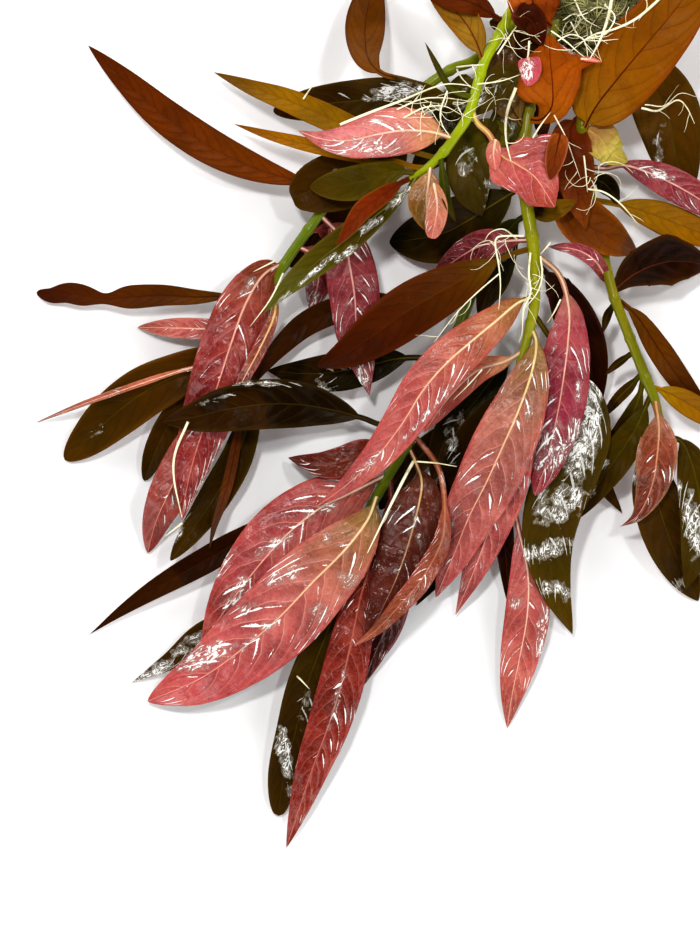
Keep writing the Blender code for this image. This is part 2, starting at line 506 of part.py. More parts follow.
# The top of the bunch, over the wool.
own_leaf("leaf_orange_large", "orange", "stem_right",
         [(70, 100), (73.5, 107.5), (80.5, 116.5), (88, 125.5), (96, 135), (104, 146), (112, 157.5)],
         22, droop=30, arch=12, petiole=0.05, base=0.4, point=0.8)
own_leaf("leaf_orange_folded", "orange", "stem_middle",
         [(53, 104), (57, 103.8), (60.3, 107.5), (60.5, 114), (59.8, 121), (59.4, 129)], 20, droop=38,
         outline=[(0, 0.85, 0.85), (0.13, 1.2, 1.2), (0.25, 4, 4), (0.35, 6, 8), (0.5, 8, 11.3),
                  (0.64, 9, 9.5), (0.73, 15, 8.5), (0.82, 7, 6), (0.91, 3, 2.2), (1, 0.3, 0.3)])
own_leaf("leaf_orange_top", "orange", "stem_middle",
         [(61, 131), (57, 135), (53.5, 141), (50, 151)], 15, droop=30, arch=4, base=0.5)
own_leaf("leaf_amber_top", "orange", "stem_front",
         [(40, 120.5), (37.5, 127), (34, 133), (28.5, 139), (21, 147)], 9.5, droop=33, base=0.6)
joined_leaf("stem_front", [(46, 132.5), (38, 137.5), (28, 141), (17, 147)], 8, droop=28)


def build_wool():
    """The wool pad: a lumpy round pad, flat below, with a socket for each stem."""
    shape = bmesh.new()
    bmesh.ops.create_icosphere(shape, subdivisions=2, radius=1.0)
    for vertex in shape.verts:
        x, y, z = vertex.co
        lump = 1 + 0.05 * math.sin(5 * x + 3 * z) + 0.05 * math.sin(6 * y - 4 * x)
        vertex.co = Vector((
            (WOOL_CENTRE[0] + WOOL_RADII[0] * x * lump - PLAN_CENTRE[0]) * MM,
            (WOOL_CENTRE[1] + WOOL_RADII[1] * y * lump - PLAN_CENTRE[1]) * MM,
            max(0.0, (WOOL_CENTRE[2] + WOOL_RADII[2] * z * min(lump, 1.0)) * MM),
        ))
    mesh = bpy.data.meshes.new("rooting_wool")
    shape.to_mesh(mesh)
    shape.free()
    mesh.shade_smooth()
    mesh.materials.append(material("wool"))
    wool = bpy.data.objects.new("rooting_wool", mesh)
    bpy.context.scene.collection.objects.link(wool)
    return wool


def cut(target, cutter, operation):
    """A Boolean whose second operand is only a guide, left out of the model."""
    step = target.modifiers.new(cutter.name, "BOOLEAN")
    step.operation = operation
    step.solver = "EXACT"
    step.object = cutter
    cutter.hide_render = True
    cutter.display_type = "WIRE"


wool_pad = build_wool()
for stem_name, points in STEMS.items():
    stalk = add_object(stem_name, *tube(spline(points, STEM_SECTIONS), STEM_SIDES), "stem")
    socket_axis = spline(points, 60)[:20].copy()
    socket_axis[:, 3] += CUT_GAP
    socket_axis[0, :3] -= (socket_axis[1, :3] - socket_axis[0, :3]) * 0.3
    socket = add_object("socket_" + stem_name, *tube(socket_axis[::3], STEM_SIDES), "wool")
    cut(wool_pad, socket, "DIFFERENCE")
    for number, (leaf_points, leaf_faces) in enumerate(joined[stem_name]):
        small = add_object(f"{stem_name}_small_leaf_{number}", leaf_points, leaf_faces, "olive")
        cut(stalk, small, "UNION")
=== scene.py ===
"""Ludwigia peruensis: a bunch of rooted, leafy stems lying on a surface, seen from above.

Plan places are millimetres on the surface, x to the right and y towards the roots, and
heights are millimetres above it. Each blade is grown where its solid lies.
"""
import math
import random

import bmesh
import bpy
import numpy as np
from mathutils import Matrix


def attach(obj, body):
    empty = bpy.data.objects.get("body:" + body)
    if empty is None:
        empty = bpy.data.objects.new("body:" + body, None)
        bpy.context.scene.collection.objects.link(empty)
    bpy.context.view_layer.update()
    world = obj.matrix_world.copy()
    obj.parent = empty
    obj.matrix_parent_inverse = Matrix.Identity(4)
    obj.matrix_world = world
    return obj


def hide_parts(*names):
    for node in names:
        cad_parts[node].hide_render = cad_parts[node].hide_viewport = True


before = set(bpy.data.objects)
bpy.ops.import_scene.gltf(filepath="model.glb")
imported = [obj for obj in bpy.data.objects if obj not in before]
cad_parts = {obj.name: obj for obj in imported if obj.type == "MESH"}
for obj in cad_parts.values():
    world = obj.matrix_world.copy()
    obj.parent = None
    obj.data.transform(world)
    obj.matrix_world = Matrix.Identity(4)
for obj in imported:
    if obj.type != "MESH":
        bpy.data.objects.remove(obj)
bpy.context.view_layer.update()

# The view: straight down on the bunch from far above, so that the nearer leaves aren't
# larger than the lower ones. One photo pixel is 0.3 mm at the middle of the bunch.
MM = 0.001
PLAN_CENTRE = (12.25, 23.36)
EYE_HEIGHT = 3500.0
MIDDLE_HEIGHT = 20.0
FRAME_HEIGHT = 279.9
SENSOR = 36.0
camera_data = bpy.data.cameras.new("camera")
camera_data.sensor_width = SENSOR
camera_data.lens = SENSOR * (EYE_HEIGHT - MIDDLE_HEIGHT) / FRAME_HEIGHT
camera = bpy.data.objects.new("camera", camera_data)
camera.location = (-PLAN_CENTRE[0] * MM, -PLAN_CENTRE[1] * MM, EYE_HEIGHT * MM)
bpy.context.scene.collection.objects.link(camera)
bpy.context.scene.camera = camera

# The studio: a pale floor just under the bunch, soft panels low down on four sides, and two
# small bright ones high up that catch the wet blades where they tilt.
FLOOR_REACH = 3.0
FLOOR_DROP = 0.0002
floor_shape = bmesh.new()
bmesh.ops.create_grid(floor_shape, x_segments=1, y_segments=1, size=FLOOR_REACH)
floor_mesh = bpy.data.meshes.new("floor")
floor_shape.to_mesh(floor_mesh)
floor_shape.free()
floor = bpy.data.objects.new("floor", floor_mesh)
floor.location.z = -FLOOR_DROP
bpy.context.scene.collection.objects.link(floor)
floor_paint = bpy.data.materials.new("pale_floor")
floor_paint.use_nodes = True
floor_shader = floor_paint.node_tree.nodes["Principled BSDF"]
floor_shader.inputs["Base Color"].default_value = (0.93, 0.93, 0.93, 1)
floor_shader.inputs["Roughness"].default_value = 0.9
floor_shader.inputs["Specular IOR Level"].default_value = 0.0
floor_mesh.materials.append(floor_paint)

world = bpy.data.worlds.new("studio")
world.use_nodes = True
world.node_tree.nodes["Background"].inputs["Color"].default_value = (1.0, 0.99, 0.97, 1)
world.node_tree.nodes["Background"].inputs["Strength"].default_value = 0.05
bpy.context.scene.world = world
bpy.context.scene.view_settings.view_transform = "Standard"
bpy.context.scene.view_settings.look = "Medium High Contrast"


def panel(name, direction, tilt, distance, size, power):
    """A square light that faces the bunch: direction and tilt in degrees, sizes in metres."""
    data = bpy.data.lights.new(name, "AREA")
    data.shape = "SQUARE"
    data.size = size
    data.energy = power
    lamp = bpy.data.objects.new(name, data)
    across, up = math.radians(direction), math.radians(tilt)
    lamp.location = (distance * math.cos(up) * math.cos(across),
                     distance * math.cos(up) * math.sin(across), distance * math.sin(up))
    lamp.rotation_euler = (math.pi / 2 - up, 0, across + math.pi / 2)
    bpy.context.scene.collection.objects.link(lamp)


for side in range(4):
    panel(f"soft_panel_{side}", direction=45 + 90 * side, tilt=27, distance=2.0, size=1.3,
          power=17.5)
panel("window_left", direction=118, tilt=74, distance=1.6, size=0.13, power=9)
panel("window_right", direction=30, tilt=68, distance=1.6, size=0.1, power=4)

# The stems: five lime-green shoots from the rooting wool to their tips, a little thicker at
# the nodes where leaves leave them. Each is (x, y, height of the axis, radius) all along.
STEMS = {
    "stem_left": [(64, 147, 9, 1.7), (50, 134, 13, 1.7), (38, 122.5, 17, 1.6),
                  (31, 119.5, 18, 1.6), (24, 115, 18, 1.6), (14, 107, 17, 1.6), (2, 93, 15, 1.6),
                  (-5, 82, 14, 1.6), (-9, 76, 14, 1.6), (-18, 63.5, 13, 1.6), (-23, 55, 12, 1.5),
                  (-27, 46, 11, 1.4), (-31, 36, 10, 1.2), (-34, 27, 9, 0.9)],
    "stem_lower": [(68, 146, 7, 1.7), (62, 128, 7, 1.7), (52, 100, 8, 1.7), (46, 80, 8, 1.7),
                   (40, 62, 9, 1.7), (33, 42, 11, 1.7), (26, 24, 13, 1.6), (18, 8, 14, 1.6),
                   (12, -2, 14, 1.6), (8, -9, 13, 1.6), (4, -16, 11, 1.4), (0, -22, 10, 1.0)],
    "stem_right": [(76, 146, 17, 1.9), (75, 133, 18, 1.9), (73, 122, 20, 1.9), (70, 108, 22, 1.9),
                   (70, 95, 22, 1.9), (72, 80, 22, 1.8), (75, 68, 22, 1.6), (77.5, 57, 22, 1.6),
                   (79.5, 50, 22, 1.6), (83, 41, 21, 1.6), (86, 33.5, 20, 1.6), (89, 26, 19, 1.7),
                   (91.5, 20, 18, 1.5), (93, 14, 17, 1.2), (94, 8, 16, 0.9)],
    "stem_middle": [(69, 150, 25, 1.9), (62, 133, 25, 1.9), (55.5, 116, 25, 1.9),
                    (52.5, 100, 26, 1.9), (52, 88, 26, 1.9), (53, 78, 26, 2.0), (55, 65, 27, 1.9),
                    (55.3, 50, 26, 1.7), (54, 42, 24, 1.6), (52.3, 35, 21, 1.5), (50, 25, 17, 1.4),
                    (48.3, 15, 14, 1.2), (47, 5, 12, 0.9)],
    "stem_front": [(60, 156, 29, 1.6), (52, 142, 32, 1.6), (47, 134, 35, 1.6),
                   (43.5, 127, 37, 1.6), (40, 120.5, 38, 1.6), (37, 110, 39, 1.6),
                   (35, 104, 39, 1.6), (31, 98, 38, 1.5), (28, 94, 37, 1.5), (24, 90, 36, 1.3),
                   (20.5, 87.5, 35, 1.1), (18, 86, 34, 0.8)],
}
STEM_TONES = {
    "stem_front": [(134, 138, 20), (162, 170, 14), (152, 168, 8), (158, 170, 8),
                   (140, 152, 10)],
    "stem_middle": [(120, 118, 36), (126, 122, 40), (126, 120, 16), (140, 140, 16),
                    (150, 148, 30), (120, 132, 14)],
    "stem_right": [(110, 112, 20), (116, 112, 14), (122, 112, 12), (126, 120, 12),
                   (106, 112, 12)],
    "stem_left": [(128, 134, 20), (122, 132, 14), (104, 120, 12), (96, 104, 10)],
    "stem_lower": [(104, 112, 16), (96, 106, 12), (88, 98, 8)],
}
STEM_ROWS = 240
STEM_SIDES = 16
STEM_SLACK = 0.97
NODE_SPACING = 13.0
NODE_SWELL = 0.16
NODE_LENGTH = 0.07
STEPS_PER_SPAN = 30


def spline(points, count):
    """Points at even spacing along a Catmull-Rom curve through the given ones."""
    points = np.array(points, float)
    padded = np.vstack([2 * points[0] - points[1], points, 2 * points[-1] - points[-2]])
    fine = []
    for a, b, c, d in zip(padded, padded[1:], padded[2:], padded[3:]):
        t = np.linspace(0, 1, STEPS_PER_SPAN, endpoint=False)[:, None]
        fine.append(0.5 * (2 * b + (c - a) * t + (2 * a - 5 * b + 4 * c - d) * t ** 2
                           + (3 * b - a - 3 * c + d) * t ** 3))
    fine = np.vstack(fine + [points[-1:]])
    steps = np.linalg.norm(np.diff(fine[:, :2], axis=0), axis=1)
    along = np.concatenate([[0], np.cumsum(steps)])
    even = np.linspace(0, along[-1], count)
    return np.stack([np.interp(even, along, column) for column in fine.T], axis=1)


def unit_steps(points):
    """The direction of travel at each point of a curve."""
    along = np.gradient(points, axis=0)
    return along / np.linalg.norm(along, axis=1)[:, None]


def linear(red, green, blue):
    """A colour as the eye reads it, 0 to 255, as the linear light that a shader takes."""
    share = np.array([red, green, blue]) / 255.0
    return np.where(share <= 0.04045, share / 12.92, ((share + 0.055) / 1.055) ** 2.4)


def bands(shares, tones):
    """The colours at the given shares of the way through an even run of tones."""
    tones = np.array([linear(*tone) for tone in tones])
    steps = np.linspace(0, 1, len(tones))
    return np.stack([np.interp(shares, steps, band) for band in tones.T], axis=1)


def add(tree, kind, inputs=(), **settings):
    """A shader node with its settings, its inputs given as values or as sockets to link."""
    node = tree.nodes.new("ShaderNode" + kind)
    for setting, value in settings.items():
        setattr(node, setting, value)
    pairs = inputs.items() if isinstance(inputs, dict) else enumerate(inputs)
    for socket, value in pairs:
        if isinstance(value, bpy.types.NodeSocket):
            tree.links.new(value, node.inputs[socket])
        elif value is not None:
            node.inputs[socket].default_value = value
    return node


def noise(tree, place, scale, detail, **inputs):
    """Clouds of a given fineness over a place, as a value round a half."""
    inputs = {"Vector": place, "Scale": scale, "Detail": detail, **inputs}
    return add(tree, "TexNoise", inputs).outputs[0]


def maths(tree, operation, *inputs):
    """One step of arithmetic on values or sockets."""
    return add(tree, "Math", inputs, operation=operation).outputs[0]


def ramp(tree, value, start, end, low=0.0, high=1.0):
    """Value carried smoothly from the range start to end into the range low to high."""
    return add(tree, "MapRange", (value, start, end, low, high), interpolation_type="SMOOTHSTEP",
               clamp=True).outputs[0]


def blend(tree, share, first, second):
    """A colour mixed from two by the share of the second."""
    return add(tree, "Mix", {0: share, 6: first, 7: second}, data_type="RGBA").outputs[2]


def finish(name):
    """A new material with its node tree, its Principled shader and places on the object."""
    made = bpy.data.materials.new(name)
    made.use_nodes = True
    tree = made.node_tree
    where = add(tree, "TexCoord").outputs["Object"]
    return made, tree, tree.nodes["Principled BSDF"], where


def put(name, shape, skin, slot_name, *nodes):
    """Turns a finished bmesh into a piece that rides with the bunch and stands for its nodes."""
    mesh = bpy.data.meshes.new(name)
    shape.to_mesh(mesh)
    shape.free()
    mesh.shade_smooth()
    mesh.materials.append(skin)
    piece = bpy.data.objects.new(name, mesh)
    bpy.context.scene.collection.objects.link(piece)
    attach(piece, "root")
    if nodes:
        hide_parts(*nodes)
    return mesh


def place_points(points):
    """Plan millimetres as metres in the frame of the bunch."""
    return (points - np.array([PLAN_CENTRE[0], PLAN_CENTRE[1], 0.0])) * MM


def tube(shape, axis, radius, sides):
    """Wraps a new grid round the axis as a closed tube. Gives its vertices and their rows."""
    rows = len(axis) - 1
    made = bmesh.ops.create_grid(shape, x_segments=sides, y_segments=rows, size=1.0)["verts"]
    grid = np.array([tuple(v.co) for v in made])
    row = np.round((grid[:, 1] + 1) / 2 * rows).astype(int)
    angle = (grid[:, 0] + 1) * math.pi
    along = unit_steps(axis)
    side = np.cross(along, (0, 0, 1))
    side /= np.linalg.norm(side, axis=1)[:, None]
    up = np.cross(side, along)
    around = np.cos(angle)[:, None] * side[row] + np.sin(angle)[:, None] * up[row]
    for vertex, point in zip(made, place_points(axis[row] + radius[row, None] * around)):
        vertex.co = point
    return made, row


def close_tubes(shape, sides):
    """Joins the seams of the tubes and closes their ends."""
    bmesh.ops.remove_doubles(shape, verts=shape.verts, dist=1e-6)
    ends = [edge for edge in shape.edges if edge.is_boundary]
    bmesh.ops.holes_fill(shape, edges=ends, sides=sides)
    bmesh.ops.recalc_face_normals(shape, faces=shape.faces)


stem_skin, tree, shader, where = finish("stem_green")
stem_tone = add(tree, "Attribute", attribute_name="pigment").outputs["Color"]
streaks = noise(tree, where, 420.0, 3.0)
patches = noise(tree, where, 60.0, 2.0)
darker = blend(tree, 0.45, stem_tone, (0.06, 0.1, 0.005, 1))
tone = blend(tree, ramp(tree, streaks, 0.45, 0.75, 0.0, 0.5), stem_tone, darker)
tone = blend(tree, ramp(tree, patches, 0.5, 0.75, 0.0, 0.6), tone, darker)
tree.links.new(tone, shader.inputs["Base Color"])
shader.inputs["Roughness"].default_value = 0.25
shader.inputs["Specular IOR Level"].default_value = 0.2
bump = add(tree, "Bump", {"Strength": 0.5, "Distance": 0.0002, "Height": streaks})
tree.links.new(bump.outputs[0], shader.inputs["Normal"])

for name, points in STEMS.items():
    axis = spline(points, STEM_ROWS + 1)
    run = np.linalg.norm(np.diff(axis[:, :3], axis=0), axis=1)
    run = np.concatenate([[0], np.cumsum(run)])
    from_node = (run / NODE_SPACING % 1 - 0.5) / NODE_LENGTH
    swell = 1 + NODE_SWELL * np.exp(-from_node ** 2)
    stalk = bmesh.new()
    pigment = stalk.verts.layers.float_color.new("pigment")
    made, row = tube(stalk, axis[:, :3], axis[:, 3] * STEM_SLACK * swell, STEM_SIDES)
    for vertex, shade in zip(made, bands(row / STEM_ROWS, STEM_TONES[name])):
        vertex[pigment] = (*shade, 1)
    close_tubes(stalk, STEM_SIDES)
    put("stalk" + name.removeprefix("stem"), stalk, stem_skin, "stem", name)

# The rooting wool: a damp pad of matted grey-green fibre that the stems are rooted in. The pad
# is felted fibre, drawn by streaks that run across each other, with loose fibres lying on it.
WOOL_CENTRE = (73.0, 142.0, 16.5)
WOOL_RADII = (16.0, 20.0, 16.5)
FIBRES = 520
FIBRE_ROWS = 14
FIBRE_SIDES = 4
FIBRE_LOWEST = 0.3

wool_skin, tree, shader, where = finish("wool_felt")
felt = []
for spin in (0.4, 1.7, 2.6):
    turned = add(tree, "Mapping", {"Vector": where, "Rotation": (spin, 2 * spin, spin),
                                   "Scale": (1.0, 7.0, 7.0)})
    felt.append(noise(tree, turned.outputs[0], 90.0, 4.0, Distortion=0.6))
tangle = maths(tree, "MAXIMUM", felt[0], maths(tree, "MAXIMUM", felt[1], felt[2]))
tone = blend(tree, ramp(tree, tangle, 0.5, 0.68), (*linear(70, 68, 34), 1),
             (*linear(172, 168, 118), 1))
tree.links.new(tone, shader.inputs["Base Color"])
shader.inputs["Roughness"].default_value = 0.8
bump = add(tree, "Bump", {"Strength": 1.0, "Distance": 0.0015, "Height": tangle})
tree.links.new(bump.outputs[0], shader.inputs["Normal"])

pad = bmesh.new()
bmesh.ops.create_icosphere(pad, subdivisions=5, radius=1.0)
for vertex in pad.verts:
    x, y, z = vertex.co
    lump = 1 + 0.05 * math.sin(5 * x + 3 * z) + 0.05 * math.sin(6 * y - 4 * x)
    lump -= 0.03 * abs(math.sin(13 * x + 5 * y) * math.sin(11 * z - 7 * y))
    vertex.co = ((WOOL_CENTRE[0] + WOOL_RADII[0] * x * lump - PLAN_CENTRE[0]) * MM,
                 (WOOL_CENTRE[1] + WOOL_RADII[1] * y * lump - PLAN_CENTRE[1]) * MM,
                 max(0.0, (WOOL_CENTRE[2] + WOOL_RADII[2] * z * min(lump, 1.0)) * MM))
put("wool_pad", pad, wool_skin, "wool", "rooting_wool")

fibre_skin, tree, shader, where = finish("wool_fibre")
shade = noise(tree, where, 150.0, 2.0)
tone = blend(tree, ramp(tree, shade, 0.4, 0.65), (*linear(88, 86, 38), 1),
             (*linear(176, 170, 112), 1))
tree.links.new(tone, shader.inputs["Base Color"])
shader.inputs["Roughness"].default_value = 0.6

chance = np.random.default_rng(41)
fibres = bmesh.new()
for _ in range(FIBRES):
    outward, sideways = chance.normal(size=(2, 3))
    outward /= np.linalg.norm(outward)
    along = np.cross(outward, sideways)
    along /= np.linalg.norm(along)
    turn = np.linspace(0, chance.uniform(0.5, 1.3), FIBRE_ROWS)[:, None]
    waves = np.sin(chance.uniform(3, 6) * turn + chance.uniform(0, 6))
    bend = 0.14 * waves * np.cross(outward, along)
    arc = np.cos(turn) * outward + np.sin(turn) * along + bend
    arc *= chance.uniform(0.96, 1.02) / np.linalg.norm(arc, axis=1)[:, None]
    arc *= 1 + chance.uniform(0.0, 0.06) * np.sin(turn / turn[-1] * math.pi)
    axis = np.array(WOOL_CENTRE) + np.array(WOOL_RADII) * arc
    axis[:, 2] = np.maximum(axis[:, 2], FIBRE_LOWEST)
    tube(fibres, axis, np.full(FIBRE_ROWS, chance.uniform(0.14, 0.3)), FIBRE_SIDES)
close_tubes(fibres, FIBRE_SIDES)
put("wool_fibres", fibres, fibre_skin, "wool")

# The leaf blades: long, pointed and thin, on short stalks. Each is a sheet that sags towards
# the surface and rests on what lies under it, with a midrib, arching side veins that pucker
# the blade, a slightly wavy margin, and a glossy skin with painted glint and sheen where it is
# wet.
LEAF_THICKNESS = 0.8
PETIOLE_WIDTH = 1.7
PINCH_LENGTH = 0.07
LAYER_GAP = 1.2
HELD_LENGTH = 2.5
LIFT_LENGTH = 7.0
STIFF_LENGTH = 6.0
SETTLING_ROUNDS = 4
FIELD_LOW = np.array([-115.0, -135.0])
FIELD_SIZE = (260, 310)
STATIONS = 161
ACROSS = np.linspace(-1.0, 1.0, 17)


class Pile:
    """What has been laid down so far, as the height of its top over each square millimetre."""

    def __init__(self):
        self.top = np.full(FIELD_SIZE, -LAYER_GAP)

    def cells(self, x, y):
        i = np.clip((x - FIELD_LOW[0]).astype(int), 1, FIELD_SIZE[0] - 2)
        j = np.clip((y - FIELD_LOW[1]).astype(int), 1, FIELD_SIZE[1] - 2)
        return i, j

    def height_under(self, x, y):
        i, j = self.cells(x, y)
        around = [self.top[i + di, j + dj] for di in (-1, 0, 1) for dj in (-1, 0, 1)]
        return np.max(around, axis=0)

    def lay(self, x, y, z):
        i, j = self.cells(x.ravel(), y.ravel())
        np.maximum.at(self.top, (i, j), z.ravel())


def plan_length(plan):
    """The length of a curve over the surface."""
    return np.linalg.norm(np.diff(plan, axis=0), axis=1).sum()


def blade_profile(u, petiole, base, point):
    """Half the width at each station as a share of the widest, zero along the petiole."""
    v = np.clip((u - petiole) / (1 - petiole), 0, 1)
    peak = base / (base + point)
    return (v / peak) ** base * ((1 - v) / (1 - peak)) ** point


class Leaf:
    """A leaf blade on its petiole, as a sheet over u, from base to tip, and t, across.

    An outline, for a creased or lobed blade, lists (u, reach to the right, reach to the left)
    as seen when looking from base to tip.
    """

    def __init__(self, stem, path, width, droop=1.0, arch=3.0, fold=0.12, cup=0.1, roll=0.0,
                 petiole=0.1, base=0.75, point=0.95, pinch=None, start=None, outline=None):
        axis = spline(STEMS[stem], 300)
        root = axis[np.argmin(np.hypot(*(axis[:, :2] - path[0]).T))]
        self.stem_radius = root[3]
        plan = spline([tuple(root[:2])] + list(path[1:]), STATIONS)
        self.u = np.linspace(0, 1, STATIONS)
        self.length = plan_length(plan)
        lift = root[2] if start is None else start
        height = lift + (droop - lift) * self.u + arch * 4 * self.u * (1 - self.u)
        self.spine = np.column_stack([plan, height])
        half = width / 2 * blade_profile(self.u, petiole, base, point)
        if pinch:
            place, depth = pinch
            half *= 1 - depth * np.exp(-((self.u - place) / PINCH_LENGTH) ** 2)
        stalk = PETIOLE_WIDTH / 2 * np.clip((1 - self.u) / 0.5, 0, 1)
        half = np.maximum(half, stalk)
        self.halves = np.stack([half, half], axis=1)
        if outline:
            places, right, left = np.array(outline, float).T
            sides = [np.interp(self.u, places, side) for side in (right, left)]
            self.halves = np.stack(sides, axis=1)
        self.fold, self.cup, self.petiole = fold, cup, petiole
        self.roll = math.radians(roll) * np.clip((self.u - petiole * 0.5) / 0.2, 0, 1)

    def sheet(self, across):
        """The middle surface, and its upward normal, at every station and place across."""
        along = unit_steps(self.spine)
        level = np.stack([-along[:, 1], along[:, 0], np.zeros(len(along))], axis=1)
        level /= np.linalg.norm(level, axis=1)[:, None]
        up = np.cross(along, level)
        cos, sin = np.cos(self.roll)[:, None], np.sin(self.roll)[:, None]
        side = cos * level + sin * up
        face = cos * up - sin * level
        half = np.where(across < 0, self.halves[:, :1], self.halves[:, 1:])
        rise = half * (self.fold * np.abs(across) + self.cup * across ** 2)
        out = half * across
        surface = (self.spine[:, None] + out[:, :, None] * side[:, None]
                   + rise[:, :, None] * face[:, None])
        return surface, face

    def settle(self, pile):
        """Raise the leaf smoothly wherever it would sink into what lies under it."""
        held = (self.u * self.length - (self.stem_radius + HELD_LENGTH)) / LIFT_LENGTH
        held = np.clip(held, 0, 1)
        spread = STIFF_LENGTH / self.length + 0.05
        near = np.exp(-((self.u[:, None] - self.u[None]) / spread) ** 2)
        for _ in range(SETTLING_ROUNDS):
            surface, _ = self.sheet(ACROSS)
            under = pile.height_under(surface[..., 0], surface[..., 1])
            need = (under + LAYER_GAP + LEAF_THICKNESS / 2 - surface[..., 2]).max(axis=1)
            need = np.maximum(need, 0) * held ** 2
            self.spine[:, 2] += (near * need[None]).max(axis=1) * held
            held = np.where(held < 1, held * 0.6, 1)
        surface, _ = self.sheet(ACROSS)
        pile.lay(surface[..., 0], surface[..., 1], surface[..., 2] + LEAF_THICKNESS / 2)


# The skins of the blades. Three finishes share the veins and the painted glint and sheen of
# wet places: soft pink undersides, dark leathery upper sides, and warm orange blades whose
# tones hold a painted glow of the light through them as well as their own colour.
def open_group(name, inputs, outputs, vectors=()):
    """A shader node group with its inputs at their defaults. Gives it and its two ends."""
    group = bpy.data.node_groups.new(name, "ShaderNodeTree")
    for socket, default in inputs:
        made = group.interface.new_socket(socket, in_out="INPUT", socket_type="NodeSocketFloat")
        made.default_value = default
    for socket in outputs:
        group.interface.new_socket(socket, in_out="OUTPUT", socket_type="NodeSocketFloat")
    for socket in vectors:
        group.interface.new_socket(socket, in_out="OUTPUT", socket_type="NodeSocketVector")
    given = group.nodes.new("NodeGroupInput").outputs
    return group, given, group.nodes.new("NodeGroupOutput").inputs


def place_on_blade(tree):
    """The place on a blade (along, across, count of side veins), its parts, and it laid flat."""
    place = add(tree, "Attribute", attribute_name="place").outputs["Vector"]
    parts = add(tree, "SeparateXYZ", (place,)).outputs
    return place, parts, add(tree, "CombineXYZ", (parts[0], parts[1], 0.0)).outputs[0]


veins, given, made = open_group(
    "leaf_veins", [("Rib width", 0.6), ("Vein width", 0.05), ("Net scale", 0.6)],
    ["Rib", "Vein", "Net", "Wet", "Fall"], ["Flat place"])
place, (_, off_rib, vein_count), flat_place = place_on_blade(veins)
state = add(veins, "Attribute", attribute_name="state").outputs["Vector"]
share_along, share_across, soaked = add(veins, "SeparateXYZ", (state,)).outputs
rib_reach = maths(veins, "MULTIPLY_ADD", share_along, -0.8, 1.0)
rib_reach = maths(veins, "MULTIPLY", given["Rib width"], rib_reach)
from_rib = maths(veins, "DIVIDE", maths(veins, "ABSOLUTE", off_rib), rib_reach)
rib = ramp(veins, from_rib, 0.55, 1.15, 1.0, 0.0)
phase = maths(veins, "MULTIPLY_ADD", noise(veins, place, 0.25, 2.0), 0.35, vein_count)
off_vein = maths(veins, "SUBTRACT", maths(veins, "FRACT", phase), 0.5)
off_vein = maths(veins, "DIVIDE", maths(veins, "ABSOLUTE", off_vein), given["Vein width"])
short_of_margin = ramp(veins, maths(veins, "ABSOLUTE", share_across), 0.6, 0.97, 1.0, 0.0)
vein = maths(veins, "MULTIPLY", ramp(veins, off_vein, 0.3, 1.3, 1.0, 0.0), short_of_margin)
cells = add(veins, "TexVoronoi", {"Vector": flat_place, "Scale": given["Net scale"],
                                  "Randomness": 0.9}, feature="DISTANCE_TO_EDGE").outputs[0]
net = ramp(veins, cells, 0.0, 0.1, 1.0, 0.0)
fall = maths(veins, "FRACT", maths(veins, "ADD", phase, 0.5))
for socket, value in zip(made, (rib, vein, net, soaked, fall, flat_place)):
    veins.links.new(value, socket)

# The painted glare group gives the shares of painted glint and painted sheen, and a ripple for the
# bump.
glare_group, given, made = open_group(
    "painted_glare", [("Wet", 0.0), ("Grain", 1.0), ("Streaks", 0.0), ("Painted foil", 0.0)],
    ["Glint", "Painted sheen", "Ripple"])
_, (_, _, vein_count), flat_place = place_on_blade(glare_group)
patchy = maths(glare_group, "SUBTRACT", noise(glare_group, flat_place, 0.28, 4.0), 0.5)
speckle = maths(glare_group, "SUBTRACT", noise(glare_group, flat_place, 1.6, 5.0, Roughness=0.6), 0.5)
is_wet = ramp(glare_group, given["Wet"], 0.12, 0.3)
soaked = maths(glare_group, "MULTIPLY_ADD", patchy, 2.4, given["Wet"])
# Painted glare: white threads of painted highlight run along wrinkled folds and widen where it is
# wet.
stretched = add(glare_group, "Mapping", {"Vector": flat_place, "Scale": (0.4, 1.1, 1.0)}).outputs[0]
crinkle = noise(glare_group, stretched, 0.5, 3.0, Distortion=1.2)
fold = maths(glare_group, "MULTIPLY_ADD", crinkle, 7.0, speckle)
fold = maths(glare_group, "FRACT", maths(glare_group, "MULTIPLY", given["Grain"], fold))
fold = maths(glare_group, "ABSOLUTE", maths(glare_group, "SUBTRACT", fold, 0.5))
thread = maths(glare_group, "MULTIPLY", given["Painted foil"], ramp(glare_group, soaked, 0.45, 1.5, -0.05, 1.0))
painted_foil = ramp(glare_group, maths(glare_group, "SUBTRACT", thread, fold), 0.0, 0.05)
painted_foil = maths(glare_group, "MULTIPLY", painted_foil, is_wet)
# Painted highlights also lie beside the side veins, in short lines that come and go.
gate = noise(glare_group, flat_place, 0.13, 1.0)
gate = maths(glare_group, "MULTIPLY_ADD", given["Wet"], 0.2, gate)
reach = maths(glare_group, "MULTIPLY_ADD", speckle, 0.14, ramp(glare_group, gate, 0.5, 0.78, -0.015, 0.1))
off_line = maths(glare_group, "MULTIPLY_ADD", speckle, 0.14, maths(glare_group, "FRACT", vein_count))
off_line = maths(glare_group, "ABSOLUTE", maths(glare_group, "SUBTRACT", off_line, 0.6))
highlight_lines = ramp(glare_group, maths(glare_group, "SUBTRACT", reach, off_line), 0.0, 0.02)
everywhere = ramp(glare_group, given["Streaks"], 0.7, 1.0)
line_share = maths(glare_group, "MULTIPLY", is_wet, given["Streaks"])
line_share = maths(glare_group, "MAXIMUM", everywhere, line_share)
painted_glint = maths(glare_group, "MAXIMUM", painted_foil, maths(glare_group, "MULTIPLY", highlight_lines, line_share))
